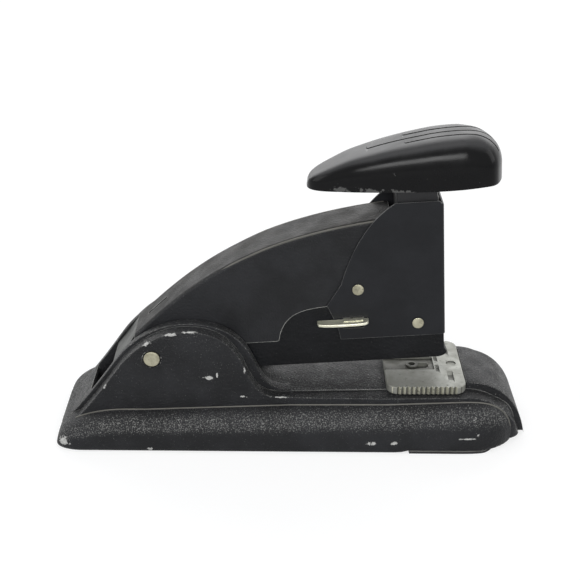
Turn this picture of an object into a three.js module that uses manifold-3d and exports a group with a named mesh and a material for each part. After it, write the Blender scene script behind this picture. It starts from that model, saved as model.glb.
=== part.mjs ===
// A vintage desk stapler: a stepped cast base with two hinge ears, a sliding anvil, a cast staple
// magazine, a sheet cover that swings up for loading, and a head whose knob drives the blade.
// Millimetres, +Z up, +X to the front. The origin is on the desk, under the middle of the base.
import * as THREE from "three";
import { mergeVertices } from "three/addons/utils/BufferGeometryUtils.js";
import Module from "manifold-3d";

const wasm = await Module();
wasm.setup();

// Driving dimensions

const fitGap = 0.3; // between pieces that touch
const snugGap = 0.15; // around a pin in its own bore
const runGap = 0.35; // around a piece that turns or slides
const overrun = 3; // how far a cutting tool passes the surface that it cuts
const weld = 1e-4; // corners closer than this are one
const sliver = 4e-3; // faces thinner than this are merged into their neighbours
const curveSteps = 7; // straight pieces in each curve of an outline
const roundSides = 20; // sides of a pin, bore or rivet

const restTiltDeg = 3.5; // the arm stands this far open when nothing presses it

// The hinge pin's centre, from which the ears, the arm and the head are laid out
const hinge = {
  x: -56.4,
  z: 38.4,
  pinRadius: 2.2,
  headRadius: 3.25,
  headThickness: 1,
  headProud: 0.3,
};

const pad = { thickness: 1.1, inset: 1.6, glue: 0.1 };

const base = { length: 194, edgeRound: 1.8, edgeTuck: 0.9 };
const edgeShares = { out: 0.75, up: 0.33 }; // the middle corner of the rounded bottom edge

// The wide rounded foot of the casting
const rail = {
  heelHalfWidth: 28.2,
  noseHalfWidth: 31,
  heelTop: 14,
  noseTop: 20.6,
  bulge: 8,
  heelLength: 11,
  heelRise: 20,
  noseLength: 27.5,
  noseSetBack: 2.4,
};
const railHeelShares = { width: 0.78, top: 0.3 };
const railNoseShares = { width: 0.42, top: 0.1 };
const railSideShare = 0.44; // height of the widest line, as a share of the rail's height

// The middle band of the casting, half a step below the spine
const ledge = {
  heelHalfWidth: 18.6,
  earHalfWidth: 20.5,
  noseHalfWidth: 22.7,
  drop: 1,
  crownStep: 1,
  browStep: 3.4,
  heelStep: 1.2,
  noseStep: 1.4,
  cornerLength: 13,
  cornerWidth: 7.5,
};

// The centre band: ears at the rear, a flat platform, and a ridge that falls to the nose
const spine = {
  heelHalfWidth: 13,
  halfWidth: 15.2,
  platformTop: 21.8,
  ridgeTop: 24.8,
  heelTop: 5.2,
  heelSetBack: 0.8,
};
const ear = {
  top: 51.4,
  halfGap: 10.7,
  shoulderBack: 17.1,
  shoulderHeight: 33.6,
  crownAhead: 14.4,
  browAhead: 39.9,
  browHeight: 36.5,
  footAhead: 55.4,
};
// Handles of each curve, as shares of the way from its start to its end
const rearSlopeShares = [0.33, 0.22, 0.74, 0.7];
const shoulderShares = [0.15, 0.37, 0.5, 1];
const crownShares = [0.51, 0, 0.82, 0.36];
const browShares = [0.26, 0.61, 0.35, 1];
const ridgeShares = [0.56, 0, 0.875, 0.35];
const ledgeNoseShares = [0.48, 0, 0.81, 0.4];

// The well between the ears, in which the arm's tail swings
const well = { floor: 13.4, back: 26.6, ahead: 25 };

const liftSpring = {
  thickness: 0.6,
  halfWidth: 4,
  footAhead: 40.5,
  tipAhead: 26.6,
  rise: 5.2,
  rivetAhead: 38,
  rivetRadius: 1.3,
  rivetHeadRadius: 2.3,
  rivetHead: 0.8,
  rivetDepth: 5,
};

const anvil = {
  length: 32.3,
  halfWidth: 20.7,
  thickness: 3.4,
  corner: 5,
  pastGroove: 10.4,
  travel: 4.8,
  grooveWidth: 1.6,
  grooveDepth: 0.8,
  grooveInner: 1.2,
  grooveOuter: 7.8,
  pinGrooveInner: 6.4,
  pinGrooveOuter: 16.1,
  pinGrooveWidth: 2.4,
  dimpleRadius: 2.1,
  dimpleDepth: 0.5,
  dimpleAhead: 6.2,
  recessEnd: 1.2,
  recessHalfWidth: 4.6,
  recessDepth: 1,
  toothPitch: 2.4,
  toothDepth: 0.9,
};
const toothCount = 10;

const anvilRivet = {
  behindGroove: 10.2,
  radius: 2,
  headRadius: 2.7,
  head: 0.5,
  boreRadius: 1.4,
  boreDepth: 7,
  depth: 11,
};

// Arm pieces below are placed from the hinge pin, with the arm closed: x to the front, z up

const blade = { x: 116.75, thickness: 0.5, halfWidth: 6.25, tip: -2.4, topBelow: 5.8 };
const stroke = 9.4; // the knob's travel

const frame = {
  bottom: -12.2,
  wall: 1.6,
  innerHalfWidth: 7.3,
  floor: 1.3,
  wallTop: 2.6,
  rear: -1.5,
  hingeRadius: 6.2,
  frontWall: 0.9,
  frontTop: -1.2,
  lip: 1,
  lipSlope: 2,
  lipHeight: 2.4,
  lipRound: 3.2,
  cheekRear: 40,
  cheekFoot: 52,
  cheekFront: 77,
  cheekTop: 16,
};

const channel = { thickness: 0.5, outerHalfWidth: 7, wallTop: 0.4, rear: 5.2 };
const core = { halfWidth: 5.6, top: -3.3, sheet: 0.9 };

const bracket = { rear: 3.2, thickness: 1.6, top: 2.4 };
const guideRod = { radius: 1, height: -0.2, front: 112 };

const follower = {
  length: 12,
  halfWidth: 6.2,
  top: 2.4,
  skirt: 0.35,
  travel: 72,
};
const followerSpring = { radius: 1.9, wire: 0.6 };
const followerTurns = 34;

const catchStud = { x: 92, z: 0.9, radius: 0.9, head: 0.7 };

const cover = {
  halfWidth: 10.1,
  sheet: 0.9,
  crestRound: 1.6,
  rearX: -7.6,
  rearZ: 5.8,
  frontX: 98,
  frontZ: 50.6,
  lowerEdge: -0.5,
  riseX: 51,
  riseTop: 13.9,
  riseEndX: 71,
  hingeRadius: 5.4,
  slotLength: 8,
  slotWidth: 1.8,
  slotAhead: 6,
};
const crestShares = [0.267, 0.572, 0.519, 0.905];
const riseShares = [0.1, 0.8, 0.45, 0.96];
const crestStations = 16;

const tail = {
  sheet: 1.2,
  halfWidth: 8.9,
  tipX: -22,
  tipZ: -9.8,
  flange: 5,
  overlap: 10,
  below: 1.65,
  rootThickness: 1.8,
};

const head = {
  front: 118.5,
  halfWidth: 11.1,
  sheet: 0.8,
  corner: 1.6,
  bottom: -0.6,
  top: 57,
  chamfer: 2,
  footX: 76.2,
  waistX: 75.2,
  waistZ: 5,
  cuspX: 71.3,
  cuspZ: 14.8,
  neckX: 77.2,
  neckZ: 23.5,
  shoulderX: 99.9,
};
const headSweepShares = [0.229, 0.479, 0.53, 0.806];

const rearPin = { x: 83.9, z: 21.4, radius: 1.3 };
const frontPin = { x: 107.5, z: 5.2, radius: 1.2 };
const pinHead = { radius: 2.3, thickness: 0.6 };

const guide = { rear: 98.5, halfWidth: 8.7, bottom: 3, top: 20, bossRadius: 3.6, bossHeight: 6 };

const plunger = {
  rear: 100.3,
  halfWidth: 9.3,
  sheet: 1.2,
  height: 30.8,
  topPlate: 2,
  lugLength: 4.4,
  lugHalfWidth: 7,
  lugThickness: 1.8,
};
const plungerSpring = { radius: 5.4, wire: 1.3 };
const plungerTurns = 8;
const bladeRivet = { radius: 1, head: 0.4, headRadius: 1.6, lowerBelow: 24.8, upperBelow: 12.8 };

const knob = {
  rear: 66,
  front: 142.2,
  halfWidth: 16,
  rim: 62.5,
  height: 20.4,
  band: 3.2,
  wall: 2.6,
  roof: 3.4,
  bossLength: 12,
  bossHalfWidth: 6,
};
const knobShares = {
  tip: 0.12,
  shoulder: 0.55,
  widest: 0.68,
  frontRound: 0.7,
  crown: 0.79,
  bandLimit: 0.35,
};
const knobPowers = { front: 3, rise: 2.2, fall: 3.2, dome: 2.5 };
const knobStations = 22;
const knobRingSteps = 9;
const knobScrew = { radius: 2, headRadius: 3.3, head: 1.2, length: 9 };

const latch = {
  sheet: 0.8,
  z: 8.1,
  tabThickness: 1.2,
  tabRear: 67,
  tabFront: 87.6,
  tabReach: 5,
  neckRear: 77.6,
  neckFront: 85.4,
  strip: 3.6,
  eyeRadius: 2.8,
  hookRear: 93.4,
  hookLength: 3,
  hookDrop: 3.4,
  dropDeg: 5.5,
};
const latchTabShares = [0, 0.62, 0.13, 0.93, 0.3, 1, 0.72, 1, 0.93, 0.9, 1, 0.5];
const latchSpring = { radius: 2.3, wire: 0.6, length: 7 };
const latchSpringTurns = 5;

const steps = { coil: 8, coilSides: 5, arch: 6, crestRound: 3, heel: 7, middle: 3, nose: 8 };

// Sizes worked out from the ones above

const tilt = THREE.MathUtils.degToRad(restTiltDeg);
const underside = pad.thickness + pad.glue;
const halfLength = base.length / 2;
const grooveX = hinge.x + blade.x;
const anvilFront = grooveX + anvil.pastGroove;
const anvilRear = anvilFront - anvil.length;
const anvilBottom = spine.platformTop + fitGap;
const anvilTop = anvilBottom + anvil.thickness;
const ridgeStart = anvilFront + fitGap;
const rivetX = grooveX - anvilRivet.behindGroove;
const earFace = ledge.earHalfWidth;
const frameHalfWidth = frame.innerHalfWidth + frame.wall;
const frameFloorTop = frame.bottom + frame.floor;
const bladeRear = blade.x - blade.thickness / 2;
const bladeFront = blade.x + blade.thickness / 2;
const frameFront = bladeFront + fitGap + frame.frontWall;
const railFront = bladeRear - fitGap;
const channelBottom = frameFloorTop + fitGap;
const channelFloorTop = channelBottom + channel.thickness;
const coverInner = cover.halfWidth - cover.sheet;
const headInner = head.halfWidth - head.sheet;
const headFrontInner = head.front - head.sheet;
const followerFront = railFront - fitGap;
const followerRear = followerFront - follower.length;
const plungerFront = bladeRear - fitGap;
const plungerTop = knob.rim + fitGap;
const plateUnder = plungerTop - plunger.topPlate;
const plungerBottom = plungerTop - plunger.height;
const rivetHeights = [plungerTop - bladeRivet.lowerBelow, plungerTop - bladeRivet.upperBelow];
const headMiddle = (plunger.rear + plungerFront) / 2;
const rivetBore = bladeRivet.radius + snugGap;
const latchOuter = headInner - fitGap;
const latchInner = latchOuter - latch.sheet;

// Solids

function solid(geometry) {
  const bare = new THREE.BufferGeometry();
  bare.setAttribute("position", geometry.getAttribute("position"));
  if (geometry.index) bare.setIndex(geometry.index);
  const merged = mergeVertices(bare, weld);
  const corners = merged.index.array;
  const kept = [];
  for (let i = 0; i < corners.length; i += 3) {
    const [a, b, c] = corners.slice(i, i + 3);
    if (a !== b && b !== c && c !== a) kept.push(a, b, c);
  }
  const vertProperties = merged.attributes.position.array;
  return new wasm.Manifold(new wasm.Mesh({ numProp: 3, vertProperties, triVerts: new Uint32Array(kept) }));
}

const join = (...parts) => parts.reduce((whole, next) => whole.add(next));
const cut = (whole, ...tools) => tools.reduce((rest, tool) => rest.subtract(tool), whole);

function block(x0, x1, y0, y1, z0, z1) {
  const geometry = new THREE.BoxGeometry(x1 - x0, y1 - y0, z1 - z0);
  return solid(geometry.translate((x0 + x1) / 2, (y0 + y1) / 2, (z0 + z1) / 2));
}

const centredBlock = (x0, x1, halfWidth, z0, z1) => block(x0, x1, -halfWidth, halfWidth, z0, z1);

const extruded = (outline, depth) =>
  new THREE.ExtrudeGeometry(outline, { depth, bevelEnabled: false, curveSegments: curveSteps });

// A side outline in x and z, carried across from y0 to y1
function sideSlab(outline, y0, y1) {
  return solid(extruded(outline, y1 - y0).rotateX(Math.PI / 2).translate(0, y1, 0));
}

// A plan outline in x and y, carried up from z0 to z1
const planSlab = (outline, z0, z1) => solid(extruded(outline, z1 - z0).translate(0, 0, z0));

// A front outline in y and z, carried forward from x0 to x1
function frontSlab(outline, x0, x1) {
  const turn = new THREE.Matrix4().makeBasis(
    new THREE.Vector3(0, 1, 0),
    new THREE.Vector3(0, 0, 1),
    new THREE.Vector3(1, 0, 0),
  );
  return solid(extruded(outline, x1 - x0).applyMatrix4(turn).translate(x0, 0, 0));
}

const cylinder = (radius, length) => new THREE.CylinderGeometry(radius, radius, length, roundSides);

const crossRod = (radius, x, z, y0, y1) =>
  solid(cylinder(radius, y1 - y0).translate(x, (y0 + y1) / 2, z));

const uprightRod = (radius, x, y, z0, z1) =>
  solid(cylinder(radius, z1 - z0).rotateX(Math.PI / 2).translate(x, y, (z0 + z1) / 2));

const longRod = (radius, y, z, x0, x1) =>
  solid(cylinder(radius, x1 - x0).rotateZ(Math.PI / 2).translate((x0 + x1) / 2, y, z));

function straightOutline(points) {
  const outline = new THREE.Shape();
  outline.moveTo(...points[0]);
  points.slice(1).forEach((point) => outline.lineTo(...point));
  return outline;
}

// Adds a curve whose two handles are shares of the way from the outline's last point to end
function sweepTo(outline, [endX, endZ], [ax, az, bx, bz]) {
  const { x, y } = outline.currentPoint;
  const [dx, dz] = [endX - x, endZ - y];
  outline.bezierCurveTo(x + ax * dx, y + az * dz, x + bx * dx, y + bz * dz, endX, endZ);
}

// Skins a row of rings that have as many points each, and closes both ends
function loft(rings, endFaces) {
  const size = rings[0].length;
  const index = [];
  for (let i = 0; i + 1 < rings.length; i++) {
    for (let j = 0; j < size; j++) {
      const next = (j + 1) % size;
      const [a, b, c, d] = [i * size + j, i * size + next, (i + 1) * size + next, (i + 1) * size + j];
      index.push(a, b, c, a, c, d);
    }
  }
  const last = (rings.length - 1) * size;
  const fan = Array.from({ length: size - 2 }, (_, k) => [0, k + 1, k + 2]);
  for (const [a, b, c] of endFaces ?? fan) {
    index.push(c, b, a, last + a, last + b, last + c);
  }
  const geometry = new THREE.BufferGeometry().setFromPoints(rings.flat());
  geometry.setIndex(index);
  return outward(geometry);
}

// Turns all faces round where they would point inwards
function outward(geometry) {
  const corners = geometry.index.array;
  const [a, b, c] = [new THREE.Vector3(), new THREE.Vector3(), new THREE.Vector3()];
  const place = geometry.getAttribute("position");
  let volume = 0;
  for (let i = 0; i < corners.length; i += 3) {
    a.fromBufferAttribute(place, corners[i]);
    b.fromBufferAttribute(place, corners[i + 1]);
    c.fromBufferAttribute(place, corners[i + 2]);
    volume += a.dot(b.cross(c));
  }
  if (volume < 0) geometry.setIndex(Array.from(corners).reverse());
  return geometry;
}

const lerp = THREE.MathUtils.lerp;
const clamp = THREE.MathUtils.clamp;

// Falls from 1 to 0 as a quarter of an oval, the rounder the higher the power
const ovalFall = (share, power) => Math.sqrt(1 - clamp(share, 0, 1) ** power);

// A round wire wound as a helix from the origin up, moved to its place
function coil(name, { radius, wire }, turns, length, place) {
  const count = turns * steps.coil;
  const centres = [];
  const rings = [];
  for (let i = 0; i <= count; i++) {
    const angle = (i / steps.coil) * 2 * Math.PI;
    const outwards = new THREE.Vector3(Math.cos(angle), Math.sin(angle), 0);
    const centre = outwards.clone().multiplyScalar(radius);
    centre.z = (length * i) / count;
    const along = new THREE.Vector3(-outwards.y, outwards.x, 0).multiplyScalar(2 * Math.PI * radius * turns);
    along.z = length;
    const across = along.normalize().cross(outwards);
    const ring = Array.from({ length: steps.coilSides }, (_, k) => {
      const turn = (k / steps.coilSides) * 2 * Math.PI;
      return centre
        .clone()
        .addScaledVector(outwards, (Math.cos(turn) * wire) / 2)
        .addScaledVector(across, (Math.sin(turn) * wire) / 2);
    });
    centres.push(centre);
    rings.push(ring);
  }
  let least = Infinity;
  centres.forEach((here, i) =>
    centres.slice(i + steps.coil / 2).forEach((there) => {
      least = Math.min(least, here.distanceTo(there) - wire);
    }),
  );
  console.log(`${name}: least gap between its turns ${least.toFixed(2)} mm`);
  return solid(loft(rings).applyMatrix4(place));
}

// Base casting

const railX = { heel: -halfLength, nose: halfLength - rail.noseSetBack };

function railSection(x) {
  const along = (x - railX.heel) / (railX.nose - railX.heel);
  const heel = ovalFall((railX.heel + rail.heelLength - x) / rail.heelLength, 2);
  const rise = ovalFall((railX.heel + rail.heelRise - x) / rail.heelRise, 2);
  const nose = ovalFall((x - railX.nose + rail.noseLength) / rail.noseLength, knobPowers.dome);
  const heelWidth = lerp(railHeelShares.width, 1, heel);
  const noseWidth = lerp(railNoseShares.width, 1, nose);
  const heelTop = lerp(railHeelShares.top, 1, rise);
  const noseTop = lerp(railNoseShares.top, 1, nose);
  const halfWidth = lerp(rail.heelHalfWidth, rail.noseHalfWidth, along) * heelWidth * noseWidth;
  const top = underside + (lerp(rail.heelTop, rail.noseTop, along) - underside) * heelTop * noseTop;
  return { halfWidth, top };
}

function railRing(x) {
  const { halfWidth, top } = railSection(x);
  const widest = underside + (top - underside) * railSideShare;
  const round = Math.min(base.edgeRound, widest - underside);
  const half = [
    [halfWidth - base.edgeTuck, underside],
    [halfWidth - base.edgeTuck * (1 - edgeShares.out), underside + round * edgeShares.up],
    [halfWidth, underside + round],
  ];
  for (let i = 0; i <= steps.arch; i++) {
    const angle = (i / steps.arch) * (Math.PI / 2);
    const y = halfWidth - rail.bulge * (1 - Math.cos(angle));
    half.push([y, lerp(widest, top, Math.sin(angle))]);
  }
  const mirrored = half.map(([y, z]) => [-y, z]).reverse();
  return [...half, ...mirrored].map(([y, z]) => new THREE.Vector3(x, y, z));
}

// Places along the base, closer together where its ends round off
function railPlaces() {
  const middleX = [railX.heel + rail.heelRise, railX.nose - rail.noseLength];
  const quarter = (i, count) => (i / count) * (Math.PI / 2);
  const heel = Array.from({ length: steps.heel }, (_, i) =>
    lerp(middleX[0], railX.heel, Math.cos(quarter(i, steps.heel))),
  );
  const middle = Array.from({ length: steps.middle }, (_, i) => lerp(...middleX, i / steps.middle));
  const nose = Array.from({ length: steps.nose + 1 }, (_, i) =>
    lerp(middleX[1], railX.nose, Math.sin(quarter(i, steps.nose))),
  );
  return [...heel, ...middle, ...nose];
}

// The ears, the platform and the ridge in side view, moved in by the steps of a lower band
function bandOutline({ top, crown, brow, heel, nose, ridge }) {
  const rearX = -halfLength + spine.heelSetBack + heel;
  const outline = new THREE.Shape();
  outline.moveTo(rearX, underside);
  outline.lineTo(rearX, spine.heelTop - heel);
  sweepTo(outline, [hinge.x - ear.shoulderBack + heel, ear.shoulderHeight - heel], rearSlopeShares);
  sweepTo(outline, [hinge.x + ear.crownAhead, ear.top - crown], shoulderShares);
  sweepTo(outline, [hinge.x + ear.browAhead - brow, ear.browHeight - crown], crownShares);
  sweepTo(outline, [hinge.x + ear.footAhead - brow, top], browShares);
  if (ridge > spine.platformTop) outline.lineTo(ridgeStart, top);
  outline.lineTo(ridgeStart, ridge);
  const noseEnd = [halfLength - nose, underside];
  sweepTo(outline, noseEnd, ridge > spine.platformTop ? ridgeShares : ledgeNoseShares);
  return outline;
}

function ledgePlan() {
  const front = halfLength - ledge.noseStep;
  const outline = new THREE.Shape();
  const side = (sign) => [
    [-halfLength, sign * ledge.heelHalfWidth],
    [hinge.x - hinge.headRadius, sign * ledge.earHalfWidth],
    [0, sign * ledge.earHalfWidth],
    [anvilRear, sign * ledge.noseHalfWidth],
    [front - ledge.cornerLength, sign * ledge.noseHalfWidth],
  ];
  const [near, far] = [side(-1), side(1)];
  const cornerY = ledge.noseHalfWidth - ledge.cornerWidth;
  outline.moveTo(...near[0]);
  near.slice(1).forEach((point) => outline.lineTo(...point));
  outline.quadraticCurveTo(front, -ledge.noseHalfWidth, front, -cornerY);
  outline.lineTo(front, cornerY);
  outline.quadraticCurveTo(front, ledge.noseHalfWidth, ...far[4]);
  far.slice(0, 4).reverse().forEach((point) => outline.lineTo(...point));
  return outline;
}

function spinePlan() {
  const crownX = hinge.x + ear.crownAhead;
  const half = [
    [-halfLength, spine.heelHalfWidth],
    [crownX, spine.halfWidth],
    [halfLength, spine.halfWidth],
  ];
  const mirrored = half.map(([x, y]) => [x, -y]).reverse();
  return straightOutline([...half, ...mirrored]);
}

function baseCasting() {
  const foot = solid(loft(railPlaces().map(railRing)));
  const inset = { crown: ledge.crownStep, brow: ledge.browStep, heel: ledge.heelStep, nose: ledge.noseStep };
  const ledgeTop = spine.platformTop - ledge.drop;
  const ledgeSide = bandOutline({ top: ledgeTop, ridge: spine.platformTop, ...inset });
  const ledgeBand = sideSlab(ledgeSide, -rail.noseHalfWidth, rail.noseHalfWidth).intersect(
    planSlab(ledgePlan(), 0, ear.top + overrun),
  );
  const flush = { crown: 0, brow: 0, heel: 0, nose: 0 };
  const spineSide = bandOutline({ top: spine.platformTop, ridge: spine.ridgeTop, ...flush });
  const spineBand = sideSlab(spineSide, -spine.halfWidth, spine.halfWidth).intersect(
    planSlab(spinePlan(), 0, ear.top + overrun),
  );
  const wellRear = hinge.x - well.back;
  const wellFront = hinge.x + well.ahead;
  const overEars = ear.top + overrun;
  const earFoot = hinge.x + ear.footAhead;
  const boreRadius = hinge.pinRadius + runGap;
  const seatDepth = hinge.headThickness - hinge.headProud + fitGap;
  const seatRadius = hinge.headRadius + fitGap;
  const across = earFace + overrun;
  return cut(
    join(foot, ledgeBand, spineBand),
    centredBlock(wellRear, wellFront, ear.halfGap, well.floor, overEars),
    centredBlock(wellRear, earFoot, ear.halfGap, spine.platformTop, overEars),
    crossRod(boreRadius, hinge.x, hinge.z, -across, across),
    crossRod(seatRadius, hinge.x, hinge.z, earFace - seatDepth, across),
    crossRod(seatRadius, hinge.x, hinge.z, -across, seatDepth - earFace),
    uprightRod(
      anvilRivet.radius + fitGap,
      rivetX,
      0,
      anvilTop - anvilRivet.depth - fitGap,
      anvilTop,
    ),
    uprightRod(
      liftSpring.rivetRadius + fitGap,
      hinge.x + liftSpring.rivetAhead,
      0,
      spine.platformTop - liftSpring.rivetDepth - fitGap,
      overEars,
    ),
  );
}

function basePad() {
  const places = railPlaces();
  const inset = pad.inset + base.edgeTuck;
  const half = places.map((x) => {
    const inX = clamp(x, railX.heel + pad.inset, railX.nose - pad.inset);
    return [inX, railSection(x).halfWidth - inset];
  });
  const mirrored = half.map(([x, y]) => [x, -y]).reverse();
  return planSlab(straightOutline([...half, ...mirrored]), 0, pad.thickness);
}

function hingePin() {
  const face = earFace + hinge.headProud;
  const heads = [1, -1].map((side) => {
    const ends = [side * face, side * (face - hinge.headThickness)].sort((a, b) => a - b);
    return crossRod(hinge.headRadius, hinge.x, hinge.z, ...ends);
  });
  return join(crossRod(hinge.pinRadius, hinge.x, hinge.z, -face, face), ...heads);
}

// A short bent leaf that holds the magazine up: a flat foot, a rise and a rounded tip
function liftLeaf() {
  const floor = spine.platformTop + fitGap;
  const footX = hinge.x + liftSpring.footAhead;
  const tipX = hinge.x + liftSpring.tipAhead;
  const bendX = hinge.x + liftSpring.rivetAhead - liftSpring.rivetHeadRadius;
  const top = floor + liftSpring.rise;
  const sweepShares = [0.35, 0, 0.4, 1];
  const outline = new THREE.Shape();
  outline.moveTo(footX, floor);
  outline.lineTo(footX, floor + liftSpring.thickness);
  outline.lineTo(bendX, floor + liftSpring.thickness);
  sweepTo(outline, [tipX, top], sweepShares);
  outline.lineTo(tipX, top - liftSpring.thickness);
  sweepTo(outline, [bendX, floor], [1 - sweepShares[2], 0, 1 - sweepShares[0], 1]);
  const leaf = sideSlab(outline, -liftSpring.halfWidth, liftSpring.halfWidth);
  const hole = liftSpring.rivetRadius + fitGap;
  return cut(leaf, uprightRod(hole, hinge.x + liftSpring.rivetAhead, 0, underside, ear.top));
}

function liftRivet() {
  const x = hinge.x + liftSpring.rivetAhead;
  const under = spine.platformTop + liftSpring.thickness + 2 * fitGap;
  const foot = spine.platformTop - liftSpring.rivetDepth;
  return join(
    uprightRod(liftSpring.rivetRadius, x, 0, foot, under + liftSpring.rivetHead),
    uprightRod(liftSpring.rivetHeadRadius, x, 0, under, under + liftSpring.rivetHead),
  );
}

// Anvil

function roundedPlan(x0, x1, halfWidth, radius) {
  const outline = new THREE.Shape();
  outline.moveTo(x0 + radius, -halfWidth);
  outline.lineTo(x1 - radius, -halfWidth);
  outline.absarc(x1 - radius, radius - halfWidth, radius, -Math.PI / 2, 0);
  outline.lineTo(x1, halfWidth - radius);
  outline.absarc(x1 - radius, halfWidth - radius, radius, 0, Math.PI / 2);
  outline.lineTo(x0 + radius, halfWidth);
  outline.absarc(x0 + radius, halfWidth - radius, radius, Math.PI / 2, Math.PI);
  outline.lineTo(x0, radius - halfWidth);
  outline.absarc(x0 + radius, radius - halfWidth, radius, Math.PI, 1.5 * Math.PI);
  return outline;
}

// A shallow pocket, round along y, that turns a staple leg
function clinchScoop(x, width, inner, outer, side) {
  const reach = (outer - inner) / 2;
  const radius = (reach ** 2 + anvil.grooveDepth ** 2) / (2 * anvil.grooveDepth);
  const y = (side * (inner + outer)) / 2;
  const z = anvilTop + radius - anvil.grooveDepth;
  const tool = new THREE.CylinderGeometry(radius, radius, width, roundSides * 2).rotateZ(Math.PI / 2);
  return solid(tool.translate(x, y, z));
}

function anvilPlate() {
  const plan = roundedPlan(anvilRear, anvilFront, anvil.halfWidth, anvil.corner);
  const plate = planSlab(plan, anvilBottom, anvilTop);
  const sides = [-1, 1];
  const staple = sides.map((side) =>
    clinchScoop(grooveX, anvil.grooveWidth, anvil.grooveInner, anvil.grooveOuter, side),
  );
  const pinX = grooveX + anvil.travel;
  const pinning = sides.map((side) =>
    clinchScoop(pinX, anvil.pinGrooveWidth, anvil.pinGrooveInner, anvil.pinGrooveOuter, side),
  );
  const recessFloor = anvilTop - anvil.recessDepth;
  const recessFront = grooveX - anvil.recessEnd;
  const slotHalf = anvilRivet.radius + fitGap;
  const slotBottom = anvilBottom - overrun;
  const teeth = sides.flatMap((side) =>
    Array.from({ length: toothCount }, (_, i) => {
      const middle = (anvilRear + anvilFront) / 2;
      const x = middle + (i - (toothCount - 1) / 2) * anvil.toothPitch;
      const rootY = side * (anvil.halfWidth - anvil.toothDepth);
      const mouthY = side * (anvil.halfWidth + anvil.toothDepth);
      const notch = straightOutline([
        [x, rootY],
        [x + side * anvil.toothPitch, mouthY],
        [x - side * anvil.toothPitch, mouthY],
      ]);
      return planSlab(notch, slotBottom, anvilTop + overrun);
    }),
  );
  return cut(
    plate,
    ...staple,
    ...pinning,
    centredBlock(anvilRear - overrun, recessFront, anvil.recessHalfWidth, recessFloor, anvilTop + overrun),
    uprightRod(slotHalf, rivetX, 0, slotBottom, anvilTop),
    uprightRod(slotHalf, rivetX + anvil.travel, 0, slotBottom, anvilTop),
    centredBlock(rivetX, rivetX + anvil.travel, slotHalf, slotBottom, anvilTop),
    uprightRod(
      anvil.dimpleRadius,
      grooveX + anvil.dimpleAhead,
      0,
      anvilTop - anvil.dimpleDepth,
      anvilTop + overrun,
    ),
    ...teeth,
  );
}

function anvilRivetSolid() {
  const under = anvilTop - anvil.recessDepth + fitGap;
  const top = under + anvilRivet.head;
  return cut(
    join(
      uprightRod(anvilRivet.headRadius, rivetX, 0, under, top),
      uprightRod(anvilRivet.radius, rivetX, 0, anvilTop - anvilRivet.depth, top),
    ),
    uprightRod(anvilRivet.boreRadius, rivetX, 0, top - anvilRivet.boreDepth, top + overrun),
  );
}

// Magazine

function magazineSide() {
  const lipZ = frame.bottom + frame.lipHeight;
  const outline = new THREE.Shape();
  outline.moveTo(frame.rear, frame.bottom);
  outline.lineTo(frameFront - frame.lipRound, frame.bottom);
  outline.quadraticCurveTo(frameFront + frame.lip, frame.bottom, frameFront + frame.lip, lipZ);
  outline.lineTo(frameFront, lipZ + frame.lipSlope);
  outline.lineTo(frameFront, frame.frontTop);
  outline.lineTo(bladeRear, frame.frontTop);
  outline.lineTo(bladeRear, frame.wallTop);
  outline.lineTo(frame.cheekFront, frame.wallTop);
  outline.lineTo(frame.cheekFront, frame.cheekTop);
  outline.lineTo(frame.cheekFoot, frame.cheekTop);
  outline.lineTo(frame.cheekRear, frame.wallTop);
  outline.lineTo(frame.hingeRadius, frame.wallTop);
  outline.absarc(0, 0, frame.hingeRadius, Math.asin(frame.wallTop / frame.hingeRadius), Math.PI);
  return outline;
}

function magazineFrame() {
  const body = sideSlab(magazineSide(), -frameHalfWidth, frameHalfWidth);
  const inner = frame.innerHalfWidth;
  const slotHalf = blade.halfWidth + fitGap;
  return cut(
    body,
    centredBlock(-overrun - frame.hingeRadius, bladeRear, inner, frameFloorTop, frame.cheekTop + overrun),
    centredBlock(railFront, bladeFront + fitGap, slotHalf, frame.bottom - overrun, frame.wallTop + overrun),
    crossRod(hinge.pinRadius + fitGap, 0, 0, -frameHalfWidth - overrun, frameHalfWidth + overrun),
    crossRod(catchStud.radius + fitGap, catchStud.x, catchStud.z, -frameHalfWidth - overrun, 0),
  );
}

// A sheet trough open at the top, or turned over at the bottom, as a front outline
function troughOutline(halfWidth, sheet, openZ, closedZ) {
  const inside = closedZ + Math.sign(openZ - closedZ) * sheet;
  return straightOutline([
    [-halfWidth, openZ],
    [-halfWidth, closedZ],
    [halfWidth, closedZ],
    [halfWidth, openZ],
    [halfWidth - sheet, openZ],
    [halfWidth - sheet, inside],
    [sheet - halfWidth, inside],
    [sheet - halfWidth, openZ],
  ]);
}

function stapleChannel() {
  const trough = troughOutline(channel.outerHalfWidth, channel.thickness, channel.wallTop, channelBottom);
  return frontSlab(trough, channel.rear, railFront);
}

function stapleCore() {
  const foot = channelFloorTop + fitGap;
  return frontSlab(troughOutline(core.halfWidth, core.sheet, foot, core.top), channel.rear, railFront);
}

function rodBracket() {
  const front = bracket.rear + bracket.thickness;
  const halfWidth = frame.innerHalfWidth - fitGap;
  return cut(
    centredBlock(bracket.rear, front, halfWidth, channelBottom, bracket.top),
    longRod(guideRod.radius + fitGap, 0, guideRod.height, bracket.rear - overrun, front + overrun),
  );
}

const guideRodSolid = () => longRod(guideRod.radius, 0, guideRod.height, bracket.rear, guideRod.front);

// The pusher: a block over the core, with two thin skirts that reach down beside it
function followerSolid() {
  const blockBottom = core.top + fitGap;
  const skirtBottom = channelFloorTop + fitGap;
  const inner = follower.halfWidth - follower.skirt;
  return cut(
    centredBlock(followerRear, followerFront, follower.halfWidth, skirtBottom, follower.top),
    centredBlock(followerRear - overrun, followerFront + overrun, inner, skirtBottom - overrun, blockBottom),
    longRod(guideRod.radius + fitGap, 0, guideRod.height, followerRear - overrun, followerFront + overrun),
  );
}

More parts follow.
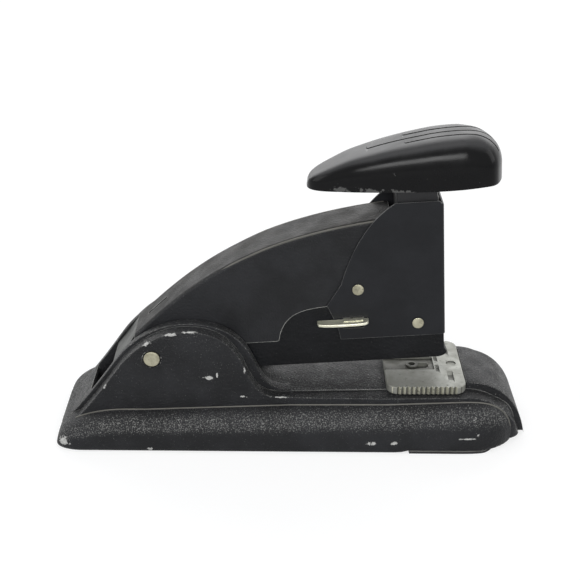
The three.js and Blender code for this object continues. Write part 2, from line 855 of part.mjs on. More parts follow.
function followerCoil() {
  const from = bracket.rear + bracket.thickness + fitGap + followerSpring.wire;
  const length = followerRear - fitGap - followerSpring.wire - from;
  const place = new THREE.Matrix4().makeTranslation(from, 0, guideRod.height);
  place.multiply(new THREE.Matrix4().makeRotationY(Math.PI / 2));
  return coil("follower_spring", followerSpring, followerTurns, length, place);
}

function catchStudSolid() {
  const face = frameHalfWidth;
  const root = frame.innerHalfWidth + snugGap;
  return crossRod(catchStud.radius, catchStud.x, catchStud.z, -face - catchStud.head, -root);
}

// Cover and tail

// The crest of the cover in side view, from its rear edge to the head
function crestCurve() {
  const path = new THREE.Path();
  path.moveTo(cover.rearX, cover.rearZ);
  sweepTo(path, [cover.frontX, cover.frontZ], crestShares);
  return path;
}

function coverRing({ x, y: top }, inset) {
  const halfWidth = cover.halfWidth - inset;
  const crest = top - inset;
  const round = cover.crestRound - inset / 2;
  const foot = -2 * cover.hingeRadius;
  const half = [[halfWidth, foot - inset]];
  for (let i = 0; i <= steps.crestRound; i++) {
    const angle = (i / steps.crestRound) * (Math.PI / 2);
    const inwards = round * (1 - Math.cos(angle));
    half.push([halfWidth - inwards, crest - round * (1 - Math.sin(angle))]);
  }
  const mirrored = half.map(([y, z]) => [-y, z]).reverse();
  return [...half, ...mirrored].map(([y, z]) => new THREE.Vector3(x, y, z));
}

function coverHood(inset, from = 0) {
  const points = crestCurve().getSpacedPoints(crestStations);
  const first = points[0].clone();
  const last = points[crestStations].clone();
  first.x -= from;
  first.y -= from;
  last.x += from;
  const run = from > 0 ? [first, ...points, last] : points;
  return solid(loft(run.map((point) => coverRing(point, inset))));
}

function coverSide() {
  const outline = new THREE.Shape();
  const over = cover.frontZ + overrun;
  const hoop = cover.hingeRadius;
  outline.moveTo(cover.rearX - overrun, over);
  outline.lineTo(cover.rearX - overrun, 0);
  outline.lineTo(-hoop, 0);
  outline.absarc(0, 0, hoop, Math.PI, 2 * Math.PI - Math.PI / 4);
  outline.lineTo(2 * hoop, cover.lowerEdge);
  outline.lineTo(cover.riseX, cover.lowerEdge);
  sweepTo(outline, [cover.riseEndX, cover.riseTop], riseShares);
  outline.lineTo(cover.frontX + overrun, cover.riseTop);
  outline.lineTo(cover.frontX + overrun, over);
  return outline;
}

function coverSolid() {
  const width = cover.halfWidth + overrun;
  const hood = coverHood(0).intersect(sideSlab(coverSide(), -width, width));
  const slotRear = cover.slotAhead - cover.slotLength;
  return cut(
    hood,
    coverHood(cover.sheet, overrun),
    crossRod(hinge.pinRadius + fitGap, 0, 0, -width, width),
    crossRod(rearPin.radius + fitGap, rearPin.x, rearPin.z, -width, width),
    centredBlock(slotRear, cover.slotAhead, cover.slotWidth / 2, 0, cover.frontZ),
  );
}

// A bent plate that closes the back: it lies under the crest, falls with it and is folded in at the foot
function tailPlate() {
  const crest = crestCurve().getPoint(0);
  const near = crestCurve().getPoint(tail.overlap / cover.frontX);
  const slope = new THREE.Vector2(tail.tipX - crest.x, tail.tipZ - crest.y).normalize();
  const inwards = new THREE.Vector2(-slope.y, slope.x).multiplyScalar(tail.sheet);
  const knee = new THREE.Vector2(crest.x, crest.y - fitGap).addScaledVector(inwards, tail.below / tail.sheet);
  const tip = new THREE.Vector2(tail.tipX, tail.tipZ);
  const innerTip = tip.clone().add(inwards);
  const outline = straightOutline([
    [near.x, near.y - tail.below],
    [knee.x, knee.y],
    [crest.x + slope.x * tail.below, crest.y + slope.y * tail.below],
    [tip.x, tip.y],
    [tip.x + tail.flange, tip.y],
    [tip.x + tail.flange, tip.y + tail.sheet],
    [innerTip.x + tail.sheet, tip.y + tail.sheet],
    [knee.x + inwards.x, knee.y + inwards.y],
    [near.x, near.y - tail.below - tail.rootThickness],
  ]);
  return sideSlab(outline, -tail.halfWidth, tail.halfWidth);
}

// Head

function headSide() {
  const outline = new THREE.Shape();
  outline.moveTo(head.footX, head.bottom);
  outline.lineTo(head.front + overrun, head.bottom);
  outline.lineTo(head.front + overrun, head.top - head.chamfer - overrun);
  outline.lineTo(head.front - head.chamfer, head.top);
  outline.lineTo(head.shoulderX, head.top);
  sweepTo(outline, [head.neckX, head.neckZ], [
    1 - headSweepShares[2],
    1 - headSweepShares[3],
    1 - headSweepShares[0],
    1 - headSweepShares[1],
  ]);
  outline.lineTo(head.cuspX, head.cuspZ);
  outline.lineTo(head.waistX, head.waistZ);
  return outline;
}

function wrapPlan(halfWidth, front, corner, rear) {
  const outline = new THREE.Shape();
  outline.moveTo(rear, -halfWidth);
  outline.lineTo(front - corner, -halfWidth);
  outline.absarc(front - corner, corner - halfWidth, corner, -Math.PI / 2, 0);
  outline.lineTo(front, halfWidth - corner);
  outline.absarc(front - corner, halfWidth - corner, corner, 0, Math.PI / 2);
  outline.lineTo(rear, halfWidth);
  return outline;
}

function headHousing() {
  const low = head.bottom - overrun;
  const high = head.top + overrun;
  const wrap = cut(
    planSlab(wrapPlan(head.halfWidth, head.front, head.corner, head.cuspX - overrun), low, high),
    planSlab(
      wrapPlan(headInner, headFrontInner, head.corner - head.sheet, head.cuspX - 2 * overrun),
      low - overrun,
      high + overrun,
    ),
  );
  const width = head.halfWidth + overrun;
  const drop = (latch.neckFront - frontPin.x) * Math.sin(THREE.MathUtils.degToRad(-latch.dropDeg));
  const reach = frontPin.x - latch.neckRear;
  const lowest = latch.z - latch.tabThickness / 2 - reach * Math.sin(THREE.MathUtils.degToRad(latch.dropDeg));
  return cut(
    wrap.intersect(sideSlab(headSide(), -width, width)),
    crossRod(rearPin.radius + fitGap, rearPin.x, rearPin.z, -width, width),
    crossRod(frontPin.radius + fitGap, frontPin.x, frontPin.z, -width, width),
    block(
      latch.neckRear - fitGap,
      latch.neckFront + fitGap,
      -width,
      -latchInner,
      Math.min(lowest, latch.z - drop) - fitGap,
      latch.z + latch.tabThickness / 2 + fitGap,
    ),
  );
}

// A pin through both sides with a flat head on each
function headPin({ x, z, radius }) {
  const under = head.halfWidth + fitGap;
  const top = under + pinHead.thickness;
  return join(
    crossRod(radius, x, z, -top, top),
    crossRod(pinHead.radius, x, z, under, top),
    crossRod(pinHead.radius, x, z, -top, -under),
  );
}

// The block in the nose that guides the blade and seats the plunger's spring
function driverGuide() {
  const faceX = bladeRear - fitGap;
  const cheek = blade.halfWidth + fitGap;
  const nose = headFrontInner - fitGap;
  const bore = frontPin.radius + snugGap;
  return cut(
    join(
      centredBlock(guide.rear, nose, guide.halfWidth, guide.bottom, guide.top),
      uprightRod(guide.bossRadius, headMiddle, 0, guide.top, guide.top + guide.bossHeight),
    ),
    centredBlock(faceX, nose + overrun, cheek, guide.bottom - overrun, guide.top + guide.bossHeight),
    crossRod(bore, frontPin.x, frontPin.z, -guide.halfWidth - overrun, guide.halfWidth + overrun),
  );
}

// Plunger

function plungerSolid() {
  const inner = plunger.halfWidth - plunger.sheet;
  const shell = cut(
    centredBlock(plunger.rear, plungerFront, plunger.halfWidth, plungerBottom, plungerTop),
    centredBlock(
      plunger.rear + plunger.sheet,
      plungerFront - plunger.sheet,
      inner,
      plungerBottom - overrun,
      plateUnder,
    ),
  );
  const lugTop = cover.frontZ - cover.sheet - 2 * fitGap;
  const lug = centredBlock(
    plunger.rear - plunger.lugLength,
    plunger.rear + plunger.sheet,
    plunger.lugHalfWidth,
    lugTop - plunger.lugThickness,
    lugTop,
  );
  const bores = rivetHeights.map((z) =>
    longRod(rivetBore, 0, z, plungerFront - plunger.sheet - overrun, plungerFront + overrun),
  );
  const screwRadius = knobScrew.radius + fitGap;
  const screwHole = uprightRod(screwRadius, headMiddle, 0, plateUnder - overrun, knob.rim + overrun);
  return cut(join(shell, lug), ...bores, screwHole);
}

function driverBlade() {
  const bores = rivetHeights.map((z) => longRod(rivetBore, 0, z, bladeRear - overrun, bladeFront + overrun));
  const top = plungerTop - blade.topBelow;
  return cut(centredBlock(bladeRear, bladeFront, blade.halfWidth, blade.tip, top), ...bores);
}

function bladeRivetSolid(z) {
  const rear = plungerFront - plunger.sheet - snugGap;
  const front = bladeFront + snugGap;
  return join(
    longRod(bladeRivet.radius, 0, z, rear - bladeRivet.head, front + bladeRivet.head),
    longRod(bladeRivet.headRadius, 0, z, rear - bladeRivet.head, rear),
    longRod(bladeRivet.headRadius, 0, z, front, front + bladeRivet.head),
  );
}

function plungerCoil() {
  const from = guide.top + fitGap + plungerSpring.wire / 2;
  const to = plateUnder - fitGap - plungerSpring.wire / 2;
  const place = new THREE.Matrix4().makeTranslation(headMiddle, 0, from);
  return coil("plunger_spring", plungerSpring, plungerTurns, to - from, place);
}

// Knob: a teardrop in plan, domed, hollow below so that it can come down over the head

function knobSection(share, halfWidth, height) {
  const tip = ovalFall(1 - share / knobShares.tip, 2);
  const flare = lerp(knobShares.shoulder, 1, clamp(share / knobShares.widest, 0, 1));
  const front = ovalFall((share - knobShares.frontRound) / (1 - knobShares.frontRound), knobPowers.front);
  const rise = 1 - (1 - clamp(share / knobShares.crown, 0, 1)) ** knobPowers.rise;
  const fall = ovalFall((share - knobShares.crown) / (1 - knobShares.crown), knobPowers.fall);
  return { halfWidth: halfWidth * tip * flare * front, height: height * rise * fall };
}

function knobBody(rear, front, halfWidth, height, floor) {
  const rings = [];
  for (let i = 1; i < knobStations; i++) {
    const share = (1 - Math.cos((i / knobStations) * Math.PI)) / 2;
    const section = knobSection(share, halfWidth, height);
    const band = Math.min(knob.band, section.height * knobShares.bandLimit);
    const x = lerp(rear, front, share);
    const ring = [new THREE.Vector3(x, section.halfWidth, floor)];
    for (let j = 0; j <= knobRingSteps; j++) {
      const y = section.halfWidth * Math.cos((j / knobRingSteps) * Math.PI);
      const dome = ovalFall(Math.abs(y) / section.halfWidth, knobPowers.dome);
      ring.push(new THREE.Vector3(x, y, knob.rim + lerp(band, section.height, dome)));
    }
    ring.push(new THREE.Vector3(x, -section.halfWidth, floor));
    rings.push(ring);
  }
  return solid(loft(rings));
}

function knobSolid() {
  const outer = knobBody(knob.rear, knob.front, knob.halfWidth, knob.height, knob.rim);
  const hollow = knobBody(
    knob.rear + knob.wall,
    knob.front - knob.wall,
    knob.halfWidth - knob.wall,
    knob.height - knob.roof,
    knob.rim - overrun,
  );
  const room = head.halfWidth + runGap;
  const headRoom = sideSlab(headSide(), -room, room).translate(-runGap, 0, stroke + runGap);
  const boss = centredBlock(
    headMiddle - knob.bossLength / 2,
    headMiddle + knob.bossLength / 2,
    knob.bossHalfWidth,
    plungerTop + fitGap,
    knob.rim + knob.height - knob.roof,
  );
  const screwTop = plateUnder + knobScrew.length + fitGap;
  const screwHole = uprightRod(knobScrew.radius + fitGap, headMiddle, 0, knob.rim, screwTop);
  return cut(join(cut(outer, hollow, headRoom), boss), screwHole);
}

function knobScrewSolid() {
  const under = plateUnder - fitGap;
  return join(
    uprightRod(knobScrew.radius, headMiddle, 0, under - knobScrew.head, plateUnder + knobScrew.length),
    uprightRod(knobScrew.headRadius, headMiddle, 0, under - knobScrew.head, under),
  );
}

// Latch: a sheet lever behind the head's near side, with a boat-shaped thumb tab outside

function latchTab() {
  const length = latch.tabFront - latch.tabRear;
  const innerY = -head.halfWidth - fitGap;
  const outline = new THREE.Shape();
  outline.moveTo(latch.tabRear, innerY);
  const points = [];
  for (let i = 0; i < latchTabShares.length; i += 2) {
    const [alongShare, outShare] = latchTabShares.slice(i, i + 2);
    points.push([latch.tabRear + alongShare * length, innerY - outShare * latch.tabReach]);
  }
  points.slice(1).forEach((point) => outline.lineTo(...point));
  outline.lineTo(latch.tabFront, innerY);
  return planSlab(outline, latch.z - latch.tabThickness / 2, latch.z + latch.tabThickness / 2);
}

function latchSolid() {
  const [outer, inner] = [-latchOuter, -latchInner];
  const stripBottom = latch.z + latch.tabThickness / 2 - latch.strip;
  const bar = straightOutline([
    [latch.neckRear, stripBottom],
    [latch.hookRear, stripBottom],
    [latch.hookRear, stripBottom - latch.hookDrop],
    [latch.hookRear + latch.hookLength, stripBottom - latch.hookDrop],
    [frontPin.x, frontPin.z - latch.eyeRadius],
    [frontPin.x, frontPin.z + latch.eyeRadius],
    [latch.neckRear, latch.z + latch.tabThickness / 2],
  ]);
  const neckTop = latch.z + latch.tabThickness / 2;
  const neck = block(
    latch.neckRear,
    latch.neckFront,
    -head.halfWidth - latch.tabReach / 2,
    inner,
    neckTop - latch.tabThickness,
    neckTop,
  );
  return cut(
    join(
      sideSlab(bar, outer, inner),
      crossRod(latch.eyeRadius, frontPin.x, frontPin.z, outer, inner),
      neck,
      latchTab(),
    ),
    crossRod(frontPin.radius + snugGap, frontPin.x, frontPin.z, outer - overrun, inner + overrun),
  );
}

// The latch's torsion spring, wound round the rear pin
function latchCoil() {
  const from = -coverInner + fitGap + latchSpring.wire;
  const place = new THREE.Matrix4().makeTranslation(rearPin.x, from, rearPin.z);
  place.multiply(new THREE.Matrix4().makeRotationX(-Math.PI / 2));
  return coil("latch_spring", latchSpring, latchSpringTurns, latchSpring.length, place);
}

// Materials

const material = (color, roughness, metalness) =>
  new THREE.MeshStandardMaterial({ color, roughness, metalness });
const finish = {
  crinkle: material(0x1d1d1e, 0.78, 0.1),
  satinBlack: material(0x18191b, 0.45, 0.2),
  glossBlack: material(0x0b0b0c, 0.16, 0),
  nickel: material(0xa9a79c, 0.42, 0.9),
  steel: material(0x8c8d8f, 0.35, 1),
  springSteel: material(0x6d6e70, 0.4, 1),
  brass: material(0xa79a72, 0.45, 0.9),
  rubber: material(0x131313, 0.9, 0),
};

// Assembly

function piece(name, manifold, look) {
  const { vertProperties, triVerts } = manifold.simplify(sliver).getMesh();
  const geometry = new THREE.BufferGeometry();
  geometry.setAttribute("position", new THREE.BufferAttribute(vertProperties, 3));
  geometry.setIndex(new THREE.BufferAttribute(triVerts, 1));
  geometry.computeVertexNormals();
  const mesh = new THREE.Mesh(geometry, look);
  mesh.name = name;
  return mesh;
}

const stapler = new THREE.Group();
stapler.name = "desk_stapler";
stapler.add(
  piece("base_casting", baseCasting(), finish.crinkle),
  piece("base_pad", basePad(), finish.rubber),
  piece("hinge_pin", hingePin(), finish.brass),
  piece("lift_spring", liftLeaf(), finish.springSteel),
  piece("lift_spring_rivet", liftRivet(), finish.steel),
  piece("anvil_rivet", anvilRivetSolid(), finish.nickel),
  piece("anvil_plate", anvilPlate(), finish.nickel),
);

const arm = new THREE.Group();
arm.name = "arm";
arm.position.set(hinge.x, 0, hinge.z);
arm.rotation.y = -tilt;
stapler.add(arm);

const magazine = new THREE.Group();
magazine.name = "magazine";
magazine.add(
  piece("magazine_frame", magazineFrame(), finish.crinkle),
  piece("staple_channel", stapleChannel(), finish.steel),
  piece("staple_core", stapleCore(), finish.steel),
  piece("rod_bracket", rodBracket(), finish.steel),
  piece("guide_rod", guideRodSolid(), finish.steel),
  piece("catch_stud", catchStudSolid(), finish.steel),
  piece("follower", followerSolid(), finish.steel),
  piece("follower_spring", followerCoil(), finish.springSteel),
);

const hood = new THREE.Group();
hood.name = "hood";
hood.add(
  piece("cover", coverSolid(), finish.crinkle),
  piece("tail_plate", tailPlate(), finish.satinBlack),
  piece("head_housing", headHousing(), finish.satinBlack),
  piece("rear_cross_pin", headPin(rearPin), finish.brass),
  piece("front_cross_pin", headPin(frontPin), finish.brass),
  piece("driver_guide", driverGuide(), finish.steel),
  piece("latch", latchSolid(), finish.nickel),
  piece("latch_spring", latchCoil(), finish.springSteel),
);

const driver = new THREE.Group();
driver.name = "driver";
driver.add(
  piece("plunger", plungerSolid(), finish.satinBlack),
  piece("driver_blade", driverBlade(), finish.steel),
  piece("blade_rivet_lower", bladeRivetSolid(rivetHeights[0]), finish.steel),
  piece("blade_rivet_upper", bladeRivetSolid(rivetHeights[1]), finish.steel),
  piece("plunger_spring", plungerCoil(), finish.springSteel),
  piece("knob", knobSolid(), finish.glossBlack),
  piece("knob_screw", knobScrewSolid(), finish.steel),
);
arm.add(magazine, hood, driver);

export default stapler;
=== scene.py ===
import math

import bpy
from mathutils import Matrix, Vector


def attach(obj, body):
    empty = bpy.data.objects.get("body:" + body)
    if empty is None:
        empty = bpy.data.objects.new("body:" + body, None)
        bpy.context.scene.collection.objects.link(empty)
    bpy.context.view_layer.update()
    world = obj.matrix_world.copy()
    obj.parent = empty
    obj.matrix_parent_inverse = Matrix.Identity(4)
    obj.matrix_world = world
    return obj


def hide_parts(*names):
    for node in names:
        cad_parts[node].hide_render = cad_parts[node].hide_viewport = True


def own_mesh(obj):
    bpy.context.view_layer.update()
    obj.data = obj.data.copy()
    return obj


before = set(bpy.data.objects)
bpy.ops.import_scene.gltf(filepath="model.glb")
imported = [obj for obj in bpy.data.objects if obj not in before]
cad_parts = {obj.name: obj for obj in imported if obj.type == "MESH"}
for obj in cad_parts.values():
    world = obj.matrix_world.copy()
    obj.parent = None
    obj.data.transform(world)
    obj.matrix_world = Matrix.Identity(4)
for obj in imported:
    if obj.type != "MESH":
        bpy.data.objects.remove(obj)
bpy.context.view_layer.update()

# Sizes are in millimetres until a piece is seated. x runs to the front, y to the far side, z up.
# Arm pieces are drawn from the hinge pin with the arm closed, then laid on the tilted arm.
# The drawing's zero lies 1 mm ahead of the frame's, so every piece moves back by that.

arm = {"hinge": (-55.4, 0, 38.4), "tilt": 3.5}
onDesk = Matrix.Translation((-1, 0, 0))
tilted = Matrix.Rotation(-math.radians(arm["tilt"]), 4, "Y")
inArm = onDesk @ Matrix.Translation(Vector(arm["hinge"])) @ tilted
toMetres = Matrix.Scale(0.001, 4)


# Tools for every piece

def settle(piece=None):
    if bpy.context.object and bpy.context.object.mode != "OBJECT":
        bpy.ops.object.mode_set(mode="OBJECT")
    bpy.ops.object.select_all(action="DESELECT")
    if piece:
        piece.select_set(True)
        bpy.context.view_layer.objects.active = piece


def applyAll(piece):
    settle(piece)
    for modifier in list(piece.modifiers):
        bpy.ops.object.modifier_apply(modifier=modifier.name)


def editAll(piece):
    settle(piece)
    bpy.ops.object.mode_set(mode="EDIT")
    bpy.ops.mesh.select_all(action="SELECT")


def applyPlace(piece):
    settle(piece)
    bpy.ops.object.transform_apply(location=True, rotation=True, scale=True)
    return piece


def tidyMesh(piece, merge=0.002, fill=True):
    editAll(piece)
    bpy.ops.mesh.remove_doubles(threshold=merge)
    if fill:
        bpy.ops.mesh.fill_holes(sides=0)
    bpy.ops.mesh.select_all(action="SELECT")
    bpy.ops.mesh.normals_make_consistent(inside=False)
    bpy.ops.object.mode_set(mode="OBJECT")
    return piece


def curve(start, end, shares, count):
    ax, az, bx, bz = shares
    dx, dz = end[0] - start[0], end[1] - start[1]
    points = [
        start,
        (start[0] + ax * dx, start[1] + az * dz),
        (start[0] + bx * dx, start[1] + bz * dz),
        end,
    ]
    made = []
    for i in range(1, count + 1):
        t = i / count
        weights = [(1 - t) ** 3, 3 * t * (1 - t) ** 2, 3 * t * t * (1 - t), t ** 3]
        made.append(tuple(sum(w * p[k] for w, p in zip(weights, points)) for k in (0, 1)))
    return made


def arc(cx, cz, radius, start, end, count):
    angles = [math.radians(start + (end - start) * i / count) for i in range(count + 1)]
    return [(cx + radius * math.cos(a), cz + radius * math.sin(a)) for a in angles]


def evenly(points, gap):
    walked = [0.0]
    for a, b in zip(points, points[1:]):
        walked.append(walked[-1] + math.dist(a, b))
    count = max(2, round(walked[-1] / gap))
    made, k = [], 0
    for i in range(count + 1):
        goal = walked[-1] * i / count
        while k < len(points) - 2 and walked[k + 1] < goal:
            k += 1
        share = (goal - walked[k]) / max(walked[k + 1] - walked[k], 1e-9)
        made.append(tuple(a + (b - a) * share for a, b in zip(points[k], points[k + 1])))
    return made


def along(table, x):
    if x <= table[0][0]:
        return table[0][1]
    for (x0, y0), (x1, y1) in zip(table, table[1:]):
        if x <= x1:
            return y0 + (y1 - y0) * (x - x0) / (x1 - x0)
    return table[-1][1]


def smoothAlong(table, x):
    xs = [row[0] for row in table]
    if x <= xs[0]:
        return table[0][1]
    if x >= xs[-1]:
        return table[-1][1]
    k = max(i for i in range(len(xs) - 1) if xs[i] <= x)

    def slope(i):
        if i == 0:
            return (table[1][1] - table[0][1]) / (xs[1] - xs[0])
        if i == len(xs) - 1:
            return (table[-1][1] - table[-2][1]) / (xs[-1] - xs[-2])
        left = (table[i][1] - table[i - 1][1]) / (xs[i] - xs[i - 1])
        right = (table[i + 1][1] - table[i][1]) / (xs[i + 1] - xs[i])
        return 0 if left * right <= 0 else 2 * left * right / (left + right)

    h = xs[k + 1] - xs[k]
    t = (x - xs[k]) / h
    a, b = table[k][1], table[k + 1][1]
    return (
        (2 * t ** 3 - 3 * t * t + 1) * a
        + (t ** 3 - 2 * t * t + t) * h * slope(k)
        + (3 * t * t - 2 * t ** 3) * b
        + (t ** 3 - t * t) * h * slope(k + 1)
    )


def gridOf(columns, rows, place, ringed=False, fill=True):
    settle()
    bpy.ops.mesh.primitive_grid_add(x_subdivisions=columns, y_subdivisions=rows, size=2)
    piece = bpy.context.object
    for point in piece.data.vertices:
        u, v = round((point.co.x + 1) / 2 * columns), round((point.co.y + 1) / 2 * rows)
        point.co = place(u, v % rows if ringed else v)
    return tidyMesh(piece, fill=fill)


def volumeOf(piece):
    piece.data.calc_loop_triangles()
    spots = [point.co for point in piece.data.vertices]
    corners = [[spots[k] for k in triangle.vertices] for triangle in piece.data.loop_triangles]
    return sum(a.dot(b.cross(c)) for a, b, c in corners) / 6


def loft(rings):
    piece = gridOf(len(rings) - 1, len(rings[0]), lambda u, v: rings[u][v], ringed=True)
    if volumeOf(piece) < 0:
        piece.data.flip_normals()
    return piece


def flatOf(outline, depth, turn):
    settle()
    bpy.ops.mesh.primitive_circle_add(vertices=len(outline), radius=1, fill_type="NGON")
    piece = bpy.context.object
    for point, (a, b) in zip(piece.data.vertices, outline):
        point.co = (a, b, 0)
    editAll(piece)
    bpy.ops.mesh.extrude_region_move(TRANSFORM_OT_translate={"value": (0, 0, depth)})
    bpy.ops.object.mode_set(mode="OBJECT")
    piece.data.transform(turn)
    return tidyMesh(piece, merge=0.0005, fill=False)


def pickFaces(piece, wanted):
    settle(piece)
    bpy.ops.object.mode_set(mode="EDIT")
    bpy.ops.mesh.select_all(action="DESELECT")
    bpy.ops.object.mode_set(mode="OBJECT")
    for face in piece.data.polygons:
        face.select = wanted(face)
    bpy.ops.object.mode_set(mode="EDIT")


def sidePlate(outline, y0, y1):
    turn = Matrix(((1, 0, 0, 0), (0, 0, -1, y1), (0, 1, 0, 0), (0, 0, 0, 1)))
    return flatOf(outline, y1 - y0, turn)


def planPlate(outline, z0, z1):
    return flatOf(outline, z1 - z0, Matrix.Translation((0, 0, z0)))


def frontPlate(outline, x0, x1):
    turn = Matrix(((0, 0, 1, x0), (1, 0, 0, 0), (0, 1, 0, 0), (0, 0, 0, 1)))
    return flatOf(outline, x1 - x0, turn)


def blockOf(x0, x1, y0, y1, z0, z1):
    settle()
    middle = ((x0 + x1) / 2, (y0 + y1) / 2, (z0 + z1) / 2)
    bpy.ops.mesh.primitive_cube_add(size=1, location=middle, scale=(x1 - x0, y1 - y0, z1 - z0))
    return applyPlace(bpy.context.object)


def rodOf(radius, middle, length, axis="Y", sides=64):
    settle()
    turn = {"X": (0, math.pi / 2, 0), "Y": (math.pi / 2, 0, 0), "Z": (0, 0, 0)}[axis]
    bpy.ops.mesh.primitive_cylinder_add(
        vertices=sides, radius=radius, depth=length, location=middle, rotation=turn
    )
    return applyPlace(bpy.context.object)


def tubeOf(path, radius):
    rings, sides = [], 8
    for i, spot in enumerate(path):
        ahead = Vector(path[min(i + 1, len(path) - 1)]) - Vector(path[max(i - 1, 0)])
        across = ahead.cross(Vector((0, 0, 1))).normalized()
        over = across.cross(ahead).normalized()
        ring = []
        for k in range(sides):
            a = math.radians(360 * k / sides)
            ring.append(tuple(Vector(spot) + radius * (math.cos(a) * across + math.sin(a) * over)))
        rings.append(ring)
    return loft(rings)


def layOn(piece, points):
    bpy.context.view_layer.update()
    laid = []
    for x, y in points:
        found, spot, _, _ = piece.ray_cast(Vector((x, y, 200)), Vector((0, 0, -1)))
        if found:
            laid.append((spot.x, spot.y, spot.z))
    return laid


def toTriangles(piece):
    editAll(piece)
    bpy.ops.mesh.quads_convert_to_tris(quad_method="BEAUTY", ngon_method="BEAUTY")
    bpy.ops.object.mode_set(mode="OBJECT")


def combine(piece, tools, operation, split=False):
    for tool in tools:
        if split:
            toTriangles(piece)
            toTriangles(tool)
        modifier = piece.modifiers.new("combine", "BOOLEAN")
        modifier.operation = operation
        modifier.solver = "EXACT"
        modifier.object = tool
        applyAll(piece)
        bpy.data.objects.remove(tool, do_unlink=True)
    return piece


def carve(piece, *tools):
    return combine(piece, tools, "DIFFERENCE")


def keepWithin(piece, *tools):
    return combine(piece, tools, "INTERSECT")


def weldOn(piece, *tools):
    return combine(piece, tools, "UNION")


def soften(piece, width, segments, angle):
    modifier = piece.modifiers.new("soften", "BEVEL")
    modifier.width = width
    modifier.segments = segments
    modifier.limit_method = "ANGLE"
    modifier.angle_limit = math.radians(angle)
    modifier.miter_outer = "MITER_ARC"
    applyAll(piece)
    return piece


def faceUp(piece):
    highest = max(piece.data.polygons, key=lambda face: face.center.z)
    if highest.normal.z < 0:
        piece.data.flip_normals()


def thicken(piece, sheet):
    modifier = piece.modifiers.new("sheet", "SOLIDIFY")
    modifier.thickness, modifier.offset, modifier.use_even_offset = sheet, -1, True
    applyAll(piece)


def shade(piece, angle, weighted):
    settle(piece)
    bpy.ops.object.shade_smooth_by_angle(angle=math.radians(angle))
    if weighted:
        modifier = piece.modifiers.new("weighted", "WEIGHTED_NORMAL")
        modifier.keep_sharp = True
        applyAll(piece)


def seat(piece, name, body, look, stands, where=None, angle=40, weighted=True):
    piece.name = name
    piece.data.name = name
    piece.data.transform(toMetres @ (inArm if where is None else where))
    shade(piece, angle, weighted)
    piece.data.materials.clear()
    piece.data.materials.append(look)
    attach(piece, body)
    if stands:
        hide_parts(*stands)
    return piece


# Shader wiring: put sets or links one input, the rest make nodes

class Wiring:
    def __init__(self, tree):
        self.nodes, self.links = tree.nodes, tree.links

    def put(self, target, value):
        if isinstance(value, (int, float, tuple)):
            target.default_value = value
        else:
            self.links.new(value, target)

    def feed(self, made, **inputs):
        for key, value in inputs.items():
            self.put(made.inputs[key.replace("_", " ")], value)
        return made

    def node(self, kind, settings=None, **inputs):
        made = self.nodes.new(kind)
        for key, value in (settings or {}).items():
            setattr(made, key, value)
        return self.feed(made, **inputs)

    def math(self, operation, a, b=0.0, clamp=False):
        made = self.nodes.new("ShaderNodeMath")
        made.operation, made.use_clamp = operation, clamp
        self.put(made.inputs[0], a)
        self.put(made.inputs[1], b)
        return made.outputs[0]

    def ramp(self, value, low, high, toLow=0.0, toHigh=1.0):
        made = self.nodes.new("ShaderNodeMapRange")
        made.interpolation_type = "SMOOTHSTEP"
        given = {"Value": value, "From Min": low, "From Max": high, "To Min": toLow, "To Max": toHigh}
        for key, what in given.items():
            self.put(made.inputs[key], what)
        return made.outputs["Result"]

    def noise(self, place, scale, detail=2.0, rough=0.5):
        made = self.node("ShaderNodeTexNoise", Vector=place, Scale=scale, Detail=detail, Roughness=rough)
        return made.outputs["Fac"]

    def mixColour(self, share, a, b):
        made = self.nodes.new("ShaderNodeMix")
        made.data_type = "RGBA"
        # The colour sockets share their names with other sockets, so they go by number.
        for socket, value in ((0, share), (6, a), (7, b)):
            self.put(made.inputs[socket], value)
        return made.outputs[2]

    def place(self):
        return self.nodes.new("ShaderNodeTexCoord").outputs["Object"]

    def upward(self):
        geometry = self.nodes.new("ShaderNodeNewGeometry")
        return self.node("ShaderNodeSeparateXYZ", Vector=geometry.outputs["Normal"]).outputs["Z"]

    def group(self, group, **inputs):
        return self.node("ShaderNodeGroup", {"node_tree": group}, **inputs)

    def shaders(self, kind, first, second, **inputs):
        made = self.node(kind, **inputs)
        sockets = [socket for socket in made.inputs if socket.type == "SHADER"]
        for socket, shader in zip(sockets, (first, second)):
            self.links.new(shader.outputs[0], socket)
        return made


# Camera, light and floor

view = {
    "lens": 74.48,
    "place": (-1, -444.1, 266.5),
    "target": (-1, 0, 59.4),
}

scene = bpy.context.scene
scene.view_settings.view_transform = "Standard"

settle()
place = Vector(view["place"]) * 0.001
target = Vector(view["target"]) * 0.001
bpy.ops.object.camera_add(location=place, rotation=(target - place).to_track_quat("-Z", "Y").to_euler())
camera = bpy.context.object
camera.data.lens = view["lens"]
camera.data.sensor_width = 36
camera.data.clip_start = 0.01
scene.camera = camera

lamps = [
    {"name": "frontBox", "place": (0.0, -0.98, 0.43), "size": (0.95, 0.22), "power": 8.2},
    {"name": "topBox", "place": (0.0, -0.1, 1.2), "size": (1.2, 0.8), "power": 3.2},
    {"name": "backBox", "place": (0.0, 1.15, 0.62), "size": (2.2, 1.0), "power": 13.5},
    {"name": "rightBox", "place": (1.0, -0.2, 0.5), "size": (0.7, 0.6), "power": 3.0},
    {"name": "leftBox", "place": (-1.0, -0.3, 0.45), "size": (0.7, 0.6), "power": 3.0},
]
for lamp in lamps:
    settle()
    spot = Vector(lamp["place"])
    turn = (Vector((0, 0, 0.04)) - spot).to_track_quat("-Z", "Y").to_euler()
    bpy.ops.object.light_add(type="AREA", location=spot, rotation=turn)
    box = bpy.context.object
    box.name = lamp["name"]
    box.data.shape = "RECTANGLE"
    box.data.size, box.data.size_y = lamp["size"]
    box.data.energy = lamp["power"]
    box.visible_camera = False


